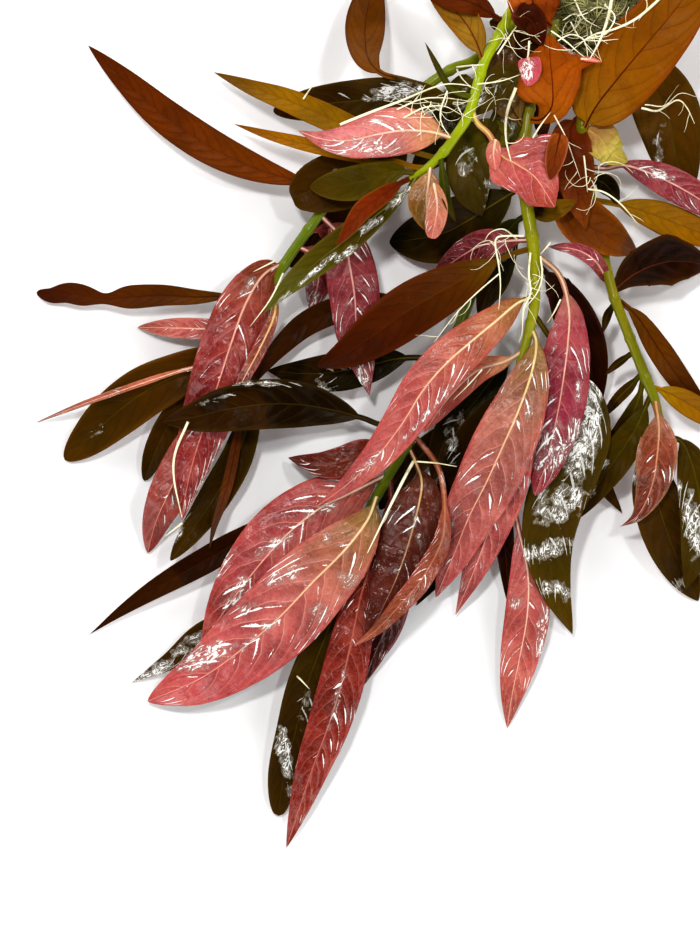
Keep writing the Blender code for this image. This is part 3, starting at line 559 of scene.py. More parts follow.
# Painted sheen: a grey reflection laid over the most soaked places, broken by the folds.
painted_sheen = maths(glare_group, "MULTIPLY", ramp(glare_group, soaked, 0.5, 0.7), ramp(glare_group, fold, 0.48, 0.36))
painted_sheen = maths(glare_group, "MULTIPLY", painted_sheen, is_wet)
ripple = maths(glare_group, "MULTIPLY_ADD", patchy, 1.5, speckle)
for socket, value in zip(made, (painted_glint, painted_sheen, ripple)):
    glare_group.links.new(value, socket)


def blade_skin(name, rib_width, vein_width, net_strength, mottle, painted_vein_shade, streaks, painted_foil, grain,
               painted_sheen_share, roughness, gloss, crease, rust):
    """One of the finishes: pigment, veins over it, mottling, painted shade and light between the
    side veins, and painted glint and sheen where it is wet.
    """
    made, tree, shader, where = finish(name)
    veined = add(tree, "Group", {"Rib width": rib_width, "Vein width": vein_width},
                 node_tree=veins).outputs
    glare_paint = add(tree, "Group", {"Wet": veined["Wet"], "Grain": grain, "Streaks": streaks,
                                  "Painted foil": painted_foil}, node_tree=glare_group).outputs
    pigment = add(tree, "Attribute", attribute_name="pigment").outputs["Color"]
    tint = add(tree, "Attribute", attribute_name="vein_tint").outputs
    rib_tint = add(tree, "Attribute", attribute_name="rib_tint").outputs
    dark = blend(tree, 0.55, pigment, (0.012, 0.006, 0.002, 1))
    light = blend(tree, 0.35, pigment, tint["Color"])
    rusty = blend(tree, 0.3, pigment, (0.13, 0.04, 0.002, 1))
    clouds = noise(tree, where, 90.0, 4.0)
    grains = noise(tree, where, 900.0, 2.0)
    areas = noise(tree, where, 38.0, 3.0, Distortion=0.6)
    tone = pigment
    for share, over in (
        (ramp(tree, clouds, 0.42, 0.72, 0.0, mottle), dark),
        (ramp(tree, clouds, 0.5, 0.3, 0.0, mottle), light),
        (ramp(tree, grains, 0.4, 0.8, 0.0, mottle * 0.6), dark),
        (ramp(tree, areas, 0.48, 0.62, 0.0, rust), rusty),
        (ramp(tree, areas, 0.46, 0.34, 0.0, rust * 0.8), dark),
        (maths(tree, "MULTIPLY", veined["Net"], net_strength), light),
        # Painted shade just past each side vein and painted light before the next, for the relief
        # of the puckered blade.
        (ramp(tree, veined["Fall"], 0.0, 0.5, painted_vein_shade, 0.0), dark),
        (ramp(tree, veined["Fall"], 0.5, 1.0, 0.0, painted_vein_shade), light),
        (maths(tree, "MULTIPLY", veined["Vein"], tint["Alpha"]), tint["Color"]),
        (maths(tree, "MULTIPLY", veined["Rib"], rib_tint["Alpha"]), rib_tint["Color"]),
        # Painted sheen, a grey reflection, and painted glint, near white, where the blade is wet.
        (maths(tree, "MULTIPLY", glare_paint["Painted sheen"], painted_sheen_share), (0.4, 0.37, 0.31, 1)),
        (glare_paint["Glint"], (0.93, 0.92, 0.88, 1)),
    ):
        tone = blend(tree, share, tone, over)
    tree.links.new(tone, shader.inputs["Base Color"])
    smoothness = ramp(tree, veined["Wet"], 0.0, 0.5, roughness, 0.08)
    tree.links.new(smoothness, shader.inputs["Roughness"])
    shader.inputs["Specular IOR Level"].default_value = gloss
    ripple = ramp(tree, veined["Wet"], 0.0, 0.6, 0.1, 0.8)
    ripple = maths(tree, "MULTIPLY", glare_paint["Ripple"], ripple)
    crumple = noise(tree, veined["Flat place"], 0.2, 3.0)
    height = maths(tree, "MULTIPLY_ADD", crumple, crease, ripple)
    height = maths(tree, "MULTIPLY_ADD", grains, 0.06, height)
    height = maths(tree, "MULTIPLY_ADD", veined["Vein"], 0.12, height)
    bump = add(tree, "Bump", {"Strength": 1.0, "Distance": 0.0006, "Height": height})
    tree.links.new(bump.outputs[0], shader.inputs["Normal"])
    return made


# Per finish: painted_vein_shade, painted_foil and painted_sheen_share set the painted shade, glare
# and sheen, and streaks the painted highlight lines beside the veins.
SKINS = {
    "soft": blade_skin(
        "pink_underside", rib_width=0.42, vein_width=0.034, net_strength=0.3, mottle=0.85,
        painted_vein_shade=0.24, streaks=1.0, painted_foil=0.3, grain=0.6, painted_sheen_share=0.25, roughness=0.22, gloss=0.32,
        crease=1.3, rust=0.15),
    "dark": blade_skin(
        "dark_upper_side", rib_width=0.3, vein_width=0.03, net_strength=0.1, mottle=0.6,
        painted_vein_shade=0.25, streaks=0.6, painted_foil=0.4, grain=0.8, painted_sheen_share=0.5, roughness=0.3, gloss=0.04,
        crease=0.5, rust=0.6),
    "warm": blade_skin(
        "amber_blade", rib_width=0.35, vein_width=0.03, net_strength=0.3, mottle=0.7,
        painted_vein_shade=0.25, streaks=0.0, painted_foil=0.36, grain=0.9, painted_sheen_share=0.3, roughness=0.35, gloss=0.04,
        crease=0.6, rust=0.35),
}

# Each family: tones from base to tip, the margin, the midrib and the side veins (with how
# far they show, 0 to 1), the tone of the side turned down, and the finish.
FAMILIES = {
    "pink": dict(
        tones=[(150, 110, 36), (180, 82, 66), (184, 76, 80), (180, 70, 74)],
        margin=(196, 74, 70), rib=(234, 202, 172, 1), vein=(226, 146, 128, 0.6),
        back=(72, 56, 8), skin="soft"),
    "red": dict(
        tones=[(120, 64, 30), (138, 42, 42), (134, 37, 42), (124, 27, 30)],
        margin=(160, 48, 42), rib=(226, 176, 150, 1), vein=(204, 116, 98, 0.5),
        back=(60, 45, 8), skin="soft"),
    "magenta": dict(
        tones=[(120, 60, 44), (136, 48, 56), (128, 42, 50), (118, 34, 42)],
        margin=(150, 48, 58), rib=(228, 182, 164, 1), vein=(204, 116, 114, 0.6),
        back=(38, 28, 6), skin="soft"),
    "maroon": dict(
        tones=[(72, 40, 8), (62, 18, 5), (54, 12, 2), (60, 14, 4)],
        margin=(80, 25, 8), rib=(105, 48, 25, 0.7), vein=(86, 30, 15, 0.35),
        back=(110, 42, 40), skin="dark"),
    "olive": dict(
        tones=[(70, 68, 6), (60, 42, 2), (55, 34, 1), (60, 38, 1)],
        margin=(78, 60, 6), rib=(88, 78, 12, 0.8), vein=(76, 60, 8, 0.35),
        back=(135, 62, 54), skin="dark"),
    "brown": dict(
        tones=[(98, 72, 8), (108, 54, 2), (110, 52, 2), (90, 36, 1)],
        margin=(72, 26, 1), rib=(62, 22, 1, 0.8), vein=(74, 28, 1, 0.3),
        back=(136, 70, 42), skin="warm"),
    # The orange and gold tones are the blades' own colour with a painted glow of light through
    # them.
    "orange": dict(
        tones=[(176, 84, 8), (162, 78, 2), (152, 72, 1), (126, 50, 2)],
        margin=(134, 52, 1), rib=(66, 10, 1, 0.9), vein=(108, 36, 1, 0.4),
        back=(172, 86, 48), skin="warm"),
    "gold": dict(
        tones=[(152, 124, 12), (160, 112, 4), (166, 110, 2), (134, 80, 3)],
        margin=(134, 80, 1), rib=(116, 68, 2, 0.6), vein=(126, 78, 2, 0.4),
        back=(156, 88, 48), skin="warm"),
}

pile = Pile()


class Scrap(Leaf):
    """A small lobe or turned-over corner, lying on the blade that it belongs to."""

    def __init__(self, path, width, base=0.5, point=0.6, level=None):
        self.u = np.linspace(0, 1, STATIONS)
        plan = spline(path, STATIONS)
        self.length = plan_length(plan)
        top = pile.height_under(plan[:, 0], plan[:, 1]) + 0.4
        if level is not None:
            top = level + 0 * self.u
        self.spine = np.column_stack([plan, np.polyval(np.polyfit(self.u, top, 2), self.u)])
        half = np.maximum(width / 2 * blade_profile(self.u, 0.0, base, point), 0.2)
        self.halves = np.stack([half, half], axis=1)
        self.fold, self.cup, self.petiole, self.roll = 0.1, 0.15, 0.02, np.zeros(STATIONS)


# A blade is a grid of two faces, an upper and an under side. Its columns crowd towards the
# midrib, its side veins lean forwards and arch, and both fade into the stalk and the tip.
BLADE_COLUMNS = 20
BLADE_ROWS = 160
SMALL_BLADE_ROWS = 80
CROWDING = 1.3
HALF_THICKNESS = 0.17
STALK_SWELL = 0.45
RIB_HEIGHT = 0.45
RIB_SHOWS_ABOVE = 0.35
VEIN_SPACING = 2.2
SPACING_PER_WIDTH = 0.26
VEIN_LEAN = 1.1
VEIN_ARCH = 1.5
VEIN_STAGGER = 0.45
END_FADE = 0.12
PUCKER = {"soft": 0.035, "dark": 0.012, "warm": 0.012}
RUFFLE = 0.032
# DAMP is a little soak over the upper face of the soft blades: a touch of gloss and sparse painted
# glints.
DAMP = {"soft": 0.1, "dark": 0.0, "warm": 0.0}
MARGIN_SHARE = 0.2
MARGIN_STRENGTH = 0.6


def grow_leaf(name, family, stem, path, width, wet=(), small=False, **details):
    """A blade of a family, along a plan path from a stem.

    Wet places are (x, y, reach along, reach across, turn in degrees, how wet). The details
    are the leaf's own looks, where they differ from its family's, and its shape. A small
    blade has no node of its own: it is one with its stem, or stands alone in the scene.
    """
    look = {key: details.pop(key, usual) for key, usual in FAMILIES[family].items()}
    if stem:
        leaf = Leaf(stem, path, width, **details)
        leaf.settle(pile)
    else:
        leaf = Scrap(path, width, **details)
    chance = random.Random(name)
    rows = SMALL_BLADE_ROWS if small else BLADE_ROWS
    shape = bmesh.new()
    bmesh.ops.create_grid(shape, x_segments=BLADE_COLUMNS, y_segments=rows, size=1.0)
    bmesh.ops.solidify(shape, geom=shape.faces[:], thickness=0.1)
    grid = np.array([tuple(v.co) for v in shape.verts])
    upper = np.where(grid[:, 2] > grid[:, 2].mean(), 1.0, -1.0)
    station = np.round((grid[:, 1] + 1) / 2 * rows).astype(int) * ((STATIONS - 1) // rows)
    column = np.round((grid[:, 0] + 1) / 2 * BLADE_COLUMNS).astype(int)
    spread = np.linspace(-1, 1, BLADE_COLUMNS + 1)
    spread = np.sign(spread) * np.abs(spread) ** CROWDING
    surface, face = leaf.sheet(spread)
    u, t = leaf.u[station], spread[column]
    off_rib, left_side = np.abs(t), t > 0
    half = leaf.halves.mean(axis=1)[station]
    across = t * np.where(t < 0, leaf.halves[station, 0], leaf.halves[station, 1])
    run = u * leaf.length
    past_stalk = u - leaf.petiole

    # The lie of the veins, the puckers between them and the waves of the margin.
    lean = width / 2 * (VEIN_LEAN * off_rib + VEIN_ARCH * off_rib ** 4)
    phase = (run - lean) / (SPACING_PER_WIDTH * width + VEIN_SPACING)
    phase = phase + VEIN_STAGGER * left_side + chance.random()
    blade = np.clip(past_stalk / END_FADE, 0, 1) * np.clip((1 - u) / END_FADE, 0, 1)
    under_side_up = leaf.fold < 0
    pucker = PUCKER[look["skin"]] * half * blade * np.clip(4 * off_rib * (1.05 - off_rib), 0, 1)
    pucker *= np.cos(2 * math.pi * (phase - 0.5)) * (1 if under_side_up else -1)
    drift = chance.uniform(0, 6.28)
    waves = np.sin(run / chance.uniform(3.2, 4.4) + drift + 1.3 * left_side)
    waves += 0.6 * np.sin(run / chance.uniform(1.7, 2.2) + 2.1 * drift + 2.0 * left_side)
    pucker += RUFFLE * half * blade * waves * t ** 2

    # The midrib stands out on the under side and is a shallow groove on the other.
    rib = np.exp(-(across / (0.5 - 0.3 * u)) ** 2)
    rib = RIB_HEIGHT * rib * np.clip(half / 3, 0, 1) * (1 - 0.6 * u)
    stalk = STALK_SWELL * np.clip(1 - past_stalk / 0.15, 0, 1)
    thick = HALF_THICKNESS + stalk * np.sqrt(np.clip(1 - t ** 2, 0, 1))
    above, below = (1, -RIB_SHOWS_ABOVE) if under_side_up else (-RIB_SHOWS_ABOVE, 1)
    lift = np.where(upper > 0, thick + above * rib, -thick - below * rib) + pucker
    points = surface[station, column] + lift[:, None] * face[station]

    at_margin = np.clip((off_rib - (1 - MARGIN_SHARE)) / MARGIN_SHARE, 0, 1)[:, None]
    at_margin = at_margin * MARGIN_STRENGTH
    top = bands(u, look["tones"]) * (1 - at_margin) + linear(*look["margin"]) * at_margin
    pigment = np.where(upper[:, None] > 0, top, linear(*look["back"]))
    to_tip = np.clip(past_stalk * 1.3, 0, 1)[:, None]
    vein_tone = linear(*look["vein"][:3])
    rib_tone = linear(*look["rib"][:3]) * (1 - to_tip) + vein_tone * to_tip
    # The soak makes each place glossier and also sets where the painted glint and sheen go.
    soak = np.where(upper > 0, DAMP[look["skin"]], 0.0) * blade
    for x, y, far, near, turn, depth in wet:
        cos, sin = math.cos(math.radians(turn)), math.sin(math.radians(turn))
        away = points[:, :2] - (x, y)
        first = (away[:, 0] * cos + away[:, 1] * sin) / far
        second = (away[:, 1] * cos - away[:, 0] * sin) / near
        patch = np.clip(1.2 * (1 - (first ** 2 + second ** 2) / 1.8), 0, 1)
        soak = np.maximum(soak, depth * patch * (upper > 0))

    for vertex, point in zip(shape.verts, place_points(points)):
        vertex.co = point
    bmesh.ops.recalc_face_normals(shape, faces=shape.faces)
    title, nodes = ("small_blade_", ()) if small else ("blade_", ("leaf_" + name,))
    mesh = put(title + name, shape, SKINS[look["skin"]], family, *nodes)
    ones = np.ones(len(points))
    for layer, kind, columns in (
        ("pigment", "COLOR", (*pigment.T, ones)),
        ("vein_tint", "COLOR", [ones * share for share in (*vein_tone, look["vein"][3])]),
        ("rib_tint", "COLOR", (*rib_tone.T, look["rib"][3] * ones)),
        ("place", "VECTOR", (run + 50 * drift, across, phase)),
        ("state", "VECTOR", (u, t, soak)),
    ):
        values = mesh.attributes.new(layer, "FLOAT_" + kind, "POINT").data
        values.foreach_set(kind.lower(), np.column_stack(columns).ravel())


def lay_stem(name):
    """Puts a stem on the pile, so that the leaves over it rest on it."""
    axis = spline(STEMS[name], 400)
    around = np.linspace(-1, 1, 9)
    along = unit_steps(axis[:, :2])
    level = np.stack([-along[:, 1], along[:, 0]], axis=1)
    place = axis[:, None, :2] + (around[None] * axis[:, 3:4])[:, :, None] * level[:, None]
    top = axis[:, 2:3] + axis[:, 3:4] * np.sqrt(1 - around[None] ** 2)
    pile.lay(place[..., 0], place[..., 1], top)


# The wool pad and four of the stems are down before the first leaf.
across, along = np.meshgrid(np.linspace(-1, 1, 41), np.linspace(-1, 1, 41))
inside = across ** 2 + along ** 2 < 1
top = WOOL_CENTRE[2] + WOOL_RADII[2] * np.sqrt(np.clip(1 - across ** 2 - along ** 2, 0, 1))
pile.lay((WOOL_CENTRE[0] + WOOL_RADII[0] * across)[inside],
         (WOOL_CENTRE[1] + WOOL_RADII[1] * along)[inside], top[inside])
for low_stem in ("stem_lower", "stem_left", "stem_right", "stem_middle"):
    lay_stem(low_stem)

# The leaves that lie lowest, on the surface or under the rest: those that reach out to the
# left, the right and the bottom edge, and the dark ones between and behind the others.
grow_leaf("umber_lower_left", "brown", "stem_lower",
    [(3, -17), (-12, -17), (-24, -18), (-34, -22.8), (-43, -28), (-52, -33), (-61, -38.3),
     (-70, -44.3), (-79, -51)], 8, petiole=0.2, point=1.2,
    tones=[(74, 36, 0), (42, 17, 0), (37, 14, 0), (26, 10, 0)], margin=(53, 21, 0), skin="dark")
grow_leaf("grey_lower_left", "olive", "stem_lower",
    [(0.5, -21), (-12, -33), (-24, -42), (-36, -48), (-45, -52), (-54, -58.5), (-66, -65.2)], 11,
    petiole=0.15, point=1.1,
    wet=[(-60, -62, 8, 3.6, 30, 0.95), (-49, -54, 8, 2.4, 36, 0.7)])
grow_leaf("olive_lowest", "olive", "stem_lower",
    [(2, -19), (-1, -34), (-7, -50), (-13, -66), (-16.5, -80), (-20, -93), (-21.7, -105.3)], 12,
    petiole=0.06, base=0.6, point=0.45,
    wet=[(-20, -86, 2.4, 9, 10, 1), (-14, -72, 3, 8, 10, 0.5), (-17, -98, 3, 4, 0, 0.5)])
grow_leaf("olive_left_lower", "olive", "stem_left",
    [(-32, 33), (-30, 18), (-33.5, 4), (-40, -8), (-47, -18.5), (-54, -28.3)], 10, point=0.7,
    wet=[(-51, -17, 1.8, 9, -25, 0.6)])
grow_leaf("left_thin", "brown", "stem_left",
    [(-33.2, 30), (-33.2, 14), (-36, -2), (-38.5, -11), (-40.8, -18), (-42.3, -25)], 3.5,
    small=True, petiole=0.25,
    tones=[(70, 34, 3), (79, 38, 10), (97, 51, 18), (62, 51, 47)])
grow_leaf("left_dark", "olive", "stem_left",
    [(-33, 30), (-43, 23.5), (-52, 16), (-58, 6), (-62, -4.3)], 8, small=True, point=0.6)
grow_leaf("olive_left_broad", "olive", "stem_left",
    [(-30, 39), (-42, 33), (-52, 27.5), (-62, 22.3), (-71, 15.6), (-79, 8.3), (-86, 2)], 15.5,
    petiole=0.14, base=0.6, point=0.6,
    wet=[(-76, 11, 4, 1.4, 35, 0.5)],
    tones=[(86, 48, 1), (74, 44, 1), (62, 40, 0), (74, 48, 1)], margin=(112, 72, 8))
grow_leaf("wavy_left", "brown", "stem_left",
    [(-24.5, 52), (-36, 51.3), (-46, 51), (-56, 51.5), (-66, 51), (-73, 50.5), (-79, 51.3),
     (-85, 52.3), (-90, 51.6), (-94.5, 52.5)], 7.5, petiole=0.15, point=0.5, pinch=(0.7, 0.55),
    tones=[(79, 68, 5), (95, 51, 1), (84, 38, 1), (63, 19, 0)])
grow_leaf("left_salmon", "pink", "stem_left",
    [(-28.5, 42.5), (-42, 41.5), (-52, 41.7), (-64, 42)], 6.5, small=True, point=0.8,
    tones=[(175, 82, 69), (180, 77, 70), (184, 79, 72), (175, 95, 74)], margin=(207, 153, 129))
grow_leaf("left_edge_on", "pink", "stem_left",
    [(-32.2, 32.8), (-40, 30.8), (-50, 28.8), (-62, 25), (-72, 21.5), (-82, 18), (-94.5, 13.3)],
    3.2, small=True, roll=55, petiole=0.2, arch=9,
    tones=[(184, 80, 58), (189, 98, 68), (175, 80, 43), (97, 68, 56)], margin=(207, 143, 104))
grow_leaf("rust_far_left", "brown", "stem_left",
    [(-3, 84.5), (-14, 85.7), (-25, 88.5), (-36, 93), (-46, 98.6), (-57, 106.5), (-68, 116.5),
     (-79, 127)], 11, petiole=0.1, base=0.8, point=0.9,
    tones=[(138, 64, 1), (111, 53, 1), (106, 47, 1), (84, 34, 0)], rib=(84, 36, 0, 0.5))
grow_leaf("middle_black", "maroon", "stem_middle",
    [(47.6, 10), (45, 0), (46.5, -22), (48, -43)], 6, small=True,
    tones=[(35, 17, 1), (28, 7, 0), (25, 5, 0), (23, 5, 0)])
grow_leaf("pink_lower_right", "pink", "stem_middle",
    [(47.2, 6), (48, -6), (50.5, -18), (53.5, -32), (53.3, -45), (51, -58), (48.8, -69),
     (47.4, -79)], 13.5, petiole=0.3, fold=-0.14, cup=-0.1,
    wet=[(58, -48, 1.8, 11, -8, 0.9), (50.5, -41, 2.5, 2, 0, 1)],
    tones=[(156, 95, 101), (180, 86, 86), (182, 83, 77), (180, 84, 70)])
grow_leaf("black_lower", "olive", "stem_middle",
    [(51, 29), (42.5, 17), (36, 5), (31.5, -12), (29, -26), (20, -42)], 13.5, fold=0.1,
    wet=[(31, 5, 2, 5, 0, 0.6)],
    tones=[(25, 26, 0), (16, 15, 0), (12, 10, 0), (18, 14, 0)], margin=(26, 20, 0))
grow_leaf("olive_right_broad", "olive", "stem_right",
    [(93.2, 13), (90.5, 6), (91, -5), (94.8, -18), (99.5, -30), (105, -40.5)], 15.5, point=0.8,
    wet=[(99, -36, 2, 4, 0, 0.6), (85, -1, 1.4, 4, 10, 0.9)])
grow_leaf("olive_right_edge", "olive", "stem_right",
    [(94, 9), (100, 7), (104, -4), (105.5, -16), (103.5, -28), (101, -37)], 13,
    wet=[(103, -18, 2.6, 11, 6, 1.0), (98, -8, 2, 4, 0, 0.8)],
    tones=[(53, 41, 0), (62, 50, 1), (69, 55, 3), (74, 53, 0)])
grow_leaf("olive_upper_right", "olive", "stem_right",
    [(72.5, 118), (82, 119), (91, 114), (96, 104), (98.5, 93), (102.5, 80)], 20,
    wet=[(93, 96, 2.5, 9, -8, 0.5)],
    tones=[(100, 72, 10), (92, 62, 6), (90, 58, 5), (84, 54, 5)])
grow_leaf("gold_right", "gold", "stem_right",
    [(72, 80), (82, 78.3), (90, 76), (98, 73), (106, 70), (117, 65.5)], 10, petiole=0.18)
grow_leaf("bronze_right", "brown", "stem_right",
    [(79.3, 51), (86, 45), (92, 36), (98, 27.5), (104, 20.5), (111, 13.5)], 7.5,
    tones=[(106, 67, 1), (99, 55, 0), (95, 50, 0), (79, 39, 0)])
grow_leaf("black_middle", "maroon", "stem_middle",
    [(55.2, 62), (62, 54), (68, 43), (72, 32), (75, 16.5)], 13,
    tones=[(35, 21, 0), (30, 7, 0), (26, 4, 0), (53, 10, 3)], margin=(66, 17, 13),
    rib=(44, 12, 0, 0.6))
grow_leaf("black_left", "olive", "stem_lower",
    [(29, 33), (16, 32.6), (6, 30.5), (-4, 28.5), (-14, 28), (-25, 29)], 12, petiole=0.22,
    wet=[(-8, 25, 4, 4, 0, 0.6), (-3, 30, 6, 1, 0, 0.6)],
    tones=[(26, 24, 0), (19, 15, 0), (18, 14, 0), (19, 15, 0)], margin=(30, 22, 0))
grow_leaf("lower_plum", "magenta", "stem_lower",
    [(12, -2), (13, -20), (13, -35), (11, -47), (7, -57), (3.3, -67)], 12, small=True, fold=-0.1,
    cup=-0.1,
    tones=[(79, 30, 27), (86, 34, 31), (81, 32, 29), (77, 29, 27)], rib=(123, 68, 64, 0.7),
    vein=(106, 51, 47, 0.4))
grow_leaf("red_lowest", "red", "stem_lower",
    [(5.5, -13.5), (6, -28), (3, -40), (0.5, -52), (-2.5, -65), (-6.5, -78), (-11, -90),
     (-15, -102), (-19.2, -115)], 13.5, fold=-0.12, cup=-0.1, point=0.9,
    wet=[(-4, -70, 1.2, 12, -15, 0.7)],
    tones=[(97, 29, 18), (124, 37, 27), (129, 37, 27), (124, 33, 23)], rib=(170, 85, 63, 0.8))
grow_leaf("olive_behind_middle", "olive", "stem_middle",
    [(52.2, 84), (42, 78), (34, 73), (26, 69.5), (12, 67.5)], 18, point=0.75,
    tones=[(62, 51, 1), (40, 31, 0), (35, 26, 0), (26, 17, 0)], rib=(106, 92, 17, 0.9))
grow_leaf("olive_behind_front", "olive", "stem_middle",
    [(52.3, 98), (46, 99.5), (40, 97), (36.5, 90.5), (36.5, 83), (39.5, 75)], 16, droop=15,
    wet=[(35, 92, 3, 5, -10, 0.7), (42, 82, 3, 5, 0, 0.5)],
    tones=[(104, 98, 14), (88, 80, 12), (76, 62, 10), (56, 42, 8)], rib=(80, 74, 24, 0.6))
grow_leaf("middle_dark", "olive", "stem_middle",
    [(53.5, 76), (48.5, 72), (45, 65), (42.5, 55), (38.5, 45.5)], 11, small=True, droop=8,
    wet=[(47, 66, 2.5, 5, -30, 0.6)],
    tones=[(40, 44, 8), (26, 28, 4), (20, 18, 3), (24, 20, 4)], rib=(60, 60, 20, 0.6))
grow_leaf("top_dark", "brown", "stem_middle",
    [(52.6, 101), (48.5, 107), (46, 114), (45.5, 122), (48.5, 130)], 13, small=True, droop=27,
    wet=[(46, 112, 4, 7, 0, 0.5), (46, 124, 4, 5, 0, 0.5)],
    tones=[(120, 92, 44), (124, 98, 54), (110, 78, 38), (96, 64, 26)])

# The left bunch: magenta and red leaves, under side up, that hang from the left stem, and the
# olive and brown ones that reach out from it and from the lower and the front stem.
grow_leaf("left_maroon", "maroon", "stem_left",
    [(-12.8, 70.5), (-9, 71), (-5.5, 69.5), (-3.5, 66)], 6.5, small=True, petiole=0.25,
    tones=[(120, 50, 36), (126, 36, 34), (112, 30, 30), (90, 24, 24)], skin="soft",
    vein=(170, 90, 80, 0.5))
grow_leaf("left_magenta", "magenta", "stem_left",
    [(-16, 66.5), (-10.5, 63), (-9.5, 56), (-12, 46.5)], 9, small=True, fold=-0.12, cup=-0.1,
    wet=[(-12, 52, 3, 6, 0, 0.8)])
grow_leaf("umber_left", "brown", "stem_lower",
    [(36, 50), (22, 47), (8, 49), (-4, 47), (-13, 43), (-20, 37), (-26, 30), (-31.5, 22)], 8,
    petiole=0.15,
    tones=[(62, 51, 1), (58, 32, 0), (55, 28, 0), (53, 24, 0)])
grow_leaf("magenta_behind", "magenta", "stem_left",
    [(-9, 76), (-2, 68), (0, 60), (1.5, 50), (2, 40), (4, 30), (5.8, 21.3)], 15.5, fold=-0.14,
    cup=-0.1, petiole=0.08, base=0.55,
    wet=[(0.5, 42, 3.5, 12, 10, 0.55), (4, 27, 2.4, 5, 10, 0.8)])
grow_leaf("olive_round", "olive", "stem_left",
    [(13, 106), (14, 96), (8, 90), (-1, 86.5), (-9, 84), (-17.3, 80.5)], 18, petiole=0.2, base=0.5,
    point=0.42,
    wet=[(13, 89, 3, 1.2, 10, 0.8), (-8, 88, 6, 1.4, 10, 0.4)])
grow_leaf("olive_wet_top", "olive", "stem_front",
    [(36.7, 108.5), (29, 109), (21, 110.5), (11, 110.5), (0, 109.5), (-12, 108.5), (-23, 107)],
    12.5, droop=8, base=0.6, point=0.6,
    wet=[(13, 112, 7, 2.8, 8, 1), (3, 110.5, 7, 0.9, -8, 0.7), (30, 106, 9, 4, 10, 0.6),
         (19, 112.5, 4, 1, 20, 0.8)],
    tones=[(70, 63, 5), (55, 43, 1), (58, 34, 0), (53, 26, 0)])
grow_leaf("brown_top", "brown", "stem_left",
    [(23, 114), (17, 115.8), (10, 117.2), (5.5, 122), (4.5, 130), (5.5, 139), (8.5, 150)], 12,
    petiole=0.3,
    tones=[(140, 84, 30), (122, 72, 10), (106, 58, 2), (98, 52, 1)])
grow_leaf("red_left_lower", "red", "stem_left",
    [(-34, 27), (-39, 19.8), (-44.5, 11), (-49.5, 2), (-54.5, -8), (-58.5, -17), (-61, -26)], 12.5,
    fold=-0.14, cup=-0.1, point=0.7,
    wet=[(-48, -3, 2.6, 10, -30, 1), (-43, 4, 2, 5, -30, 0.9)],
    tones=[(138, 55, 40), (158, 74, 66), (164, 76, 68), (114, 31, 24)])

# The right bunch: short-stalked leaves on both sides of the right stem, warm brown above and
# dark lower down, and the wet olive leaf that lies beside them.
grow_leaf("brown_upper", "orange", "stem_right",
    [(71, 88), (67, 84.5), (66.5, 78.5), (70, 73), (77, 69), (86.5, 64.5)], 15, roll=-12,
    tones=[(104, 48, 6), (112, 58, 4), (112, 58, 4), (126, 70, 8)], margin=(170, 96, 20),
    rib=(84, 34, 4, 0.6))
grow_leaf("maroon_upper", "maroon", "stem_right",
    [(70, 106), (66.5, 102), (66, 95), (67.2, 88), (68.3, 80), (70.5, 71)], 13, base=0.5, arch=5,
    tones=[(126, 52, 12), (100, 38, 8), (112, 50, 10), (128, 66, 12)], margin=(130, 66, 14),
    skin="warm", rib=(74, 24, 5, 0.7))
grow_leaf("magenta_upper_right", "magenta", "stem_right",
    [(70.5, 90), (76.5, 89.5), (82, 90.4), (88, 88.7), (95, 85.7), (102, 82), (110, 77),
     (119, 70.5)], 10, petiole=0.2, fold=-0.14, cup=-0.1,
    wet=[(92, 88, 5, 1.8, -20, 1.1), (84, 93, 4, 1.2, -20, 0.8)])
grow_leaf("right_yellow", "gold", "stem_right",
    [(70.5, 102), (74.3, 99), (76.8, 95.7), (79.5, 93), (83.2, 91.3)], 11, small=True, base=0.5,
    arch=7,
    tones=[(170, 110, 70), (206, 160, 96), (192, 176, 84), (170, 150, 60)], margin=(150, 136, 50),
    rib=(214, 190, 110, 0.7), vein=(210, 180, 100, 0.4))
grow_leaf("right_dark_top", "olive", "stem_right",
    [(71.5, 87), (75.5, 85.5), (78.5, 82.5), (80, 78.5)], 6, small=True,
    tones=[(34, 30, 8), (26, 22, 5), (24, 18, 4), (30, 22, 5)])
grow_leaf("right_dark_low", "olive", "stem_right",
    [(88.2, 28), (86.5, 20), (82, 10), (77, 3), (76.5, -5), (82, -14)], 7, small=True)
grow_leaf("olive_right_long", "olive", "stem_right",
    [(90.6, 22.5), (86, 12), (81, 4), (75.5, -4), (68.5, -16)], 10,
    wet=[(75, 0.5, 3, 1.6, 25, 1), (72, -6, 2, 3, 20, 0.9)],
    tones=[(62, 56, 1), (63, 53, 0), (62, 50, 0), (53, 41, 0)])
grow_leaf("redbrown_right", "red", "stem_right",
    [(91.6, 19.5), (92.6, 12), (92, 3), (90.5, -6), (86.5, -14.5), (81, -18.3)], 12.5, fold=-0.14,
    cup=-0.12, point=1.4, arch=5, start=21.5,
    wet=[(85, -5, 1.2, 6, 0, 0.7), (86, 6, 1.0, 5, 10, 0.7)],
    tones=[(138, 82, 34), (125, 58, 32), (121, 53, 31), (79, 43, 34)], rib=(189, 143, 95, 1),
    margin=(193, 143, 100))
grow_leaf("gold_right_low", "gold", "stem_right",
    [(90, 24.3), (95, 22.3), (100, 19.8), (107, 15.5), (114, 10.5)], 7.5)
grow_leaf("right_dark_third", "olive", "stem_right",
    [(88, 28.5), (84, 24), (80, 20), (75.8, 14.5)], 3.6, small=True)
grow_leaf("right_dark_second", "olive", "stem_right",
    [(85.6, 34.5), (80, 30.6), (76.4, 27.3)], 2.4, small=True)
grow_leaf("right_dark_first", "olive", "stem_right",
    [(79.6, 49.8), (77.4, 45.5), (76, 40.3)], 2.6, small=True)
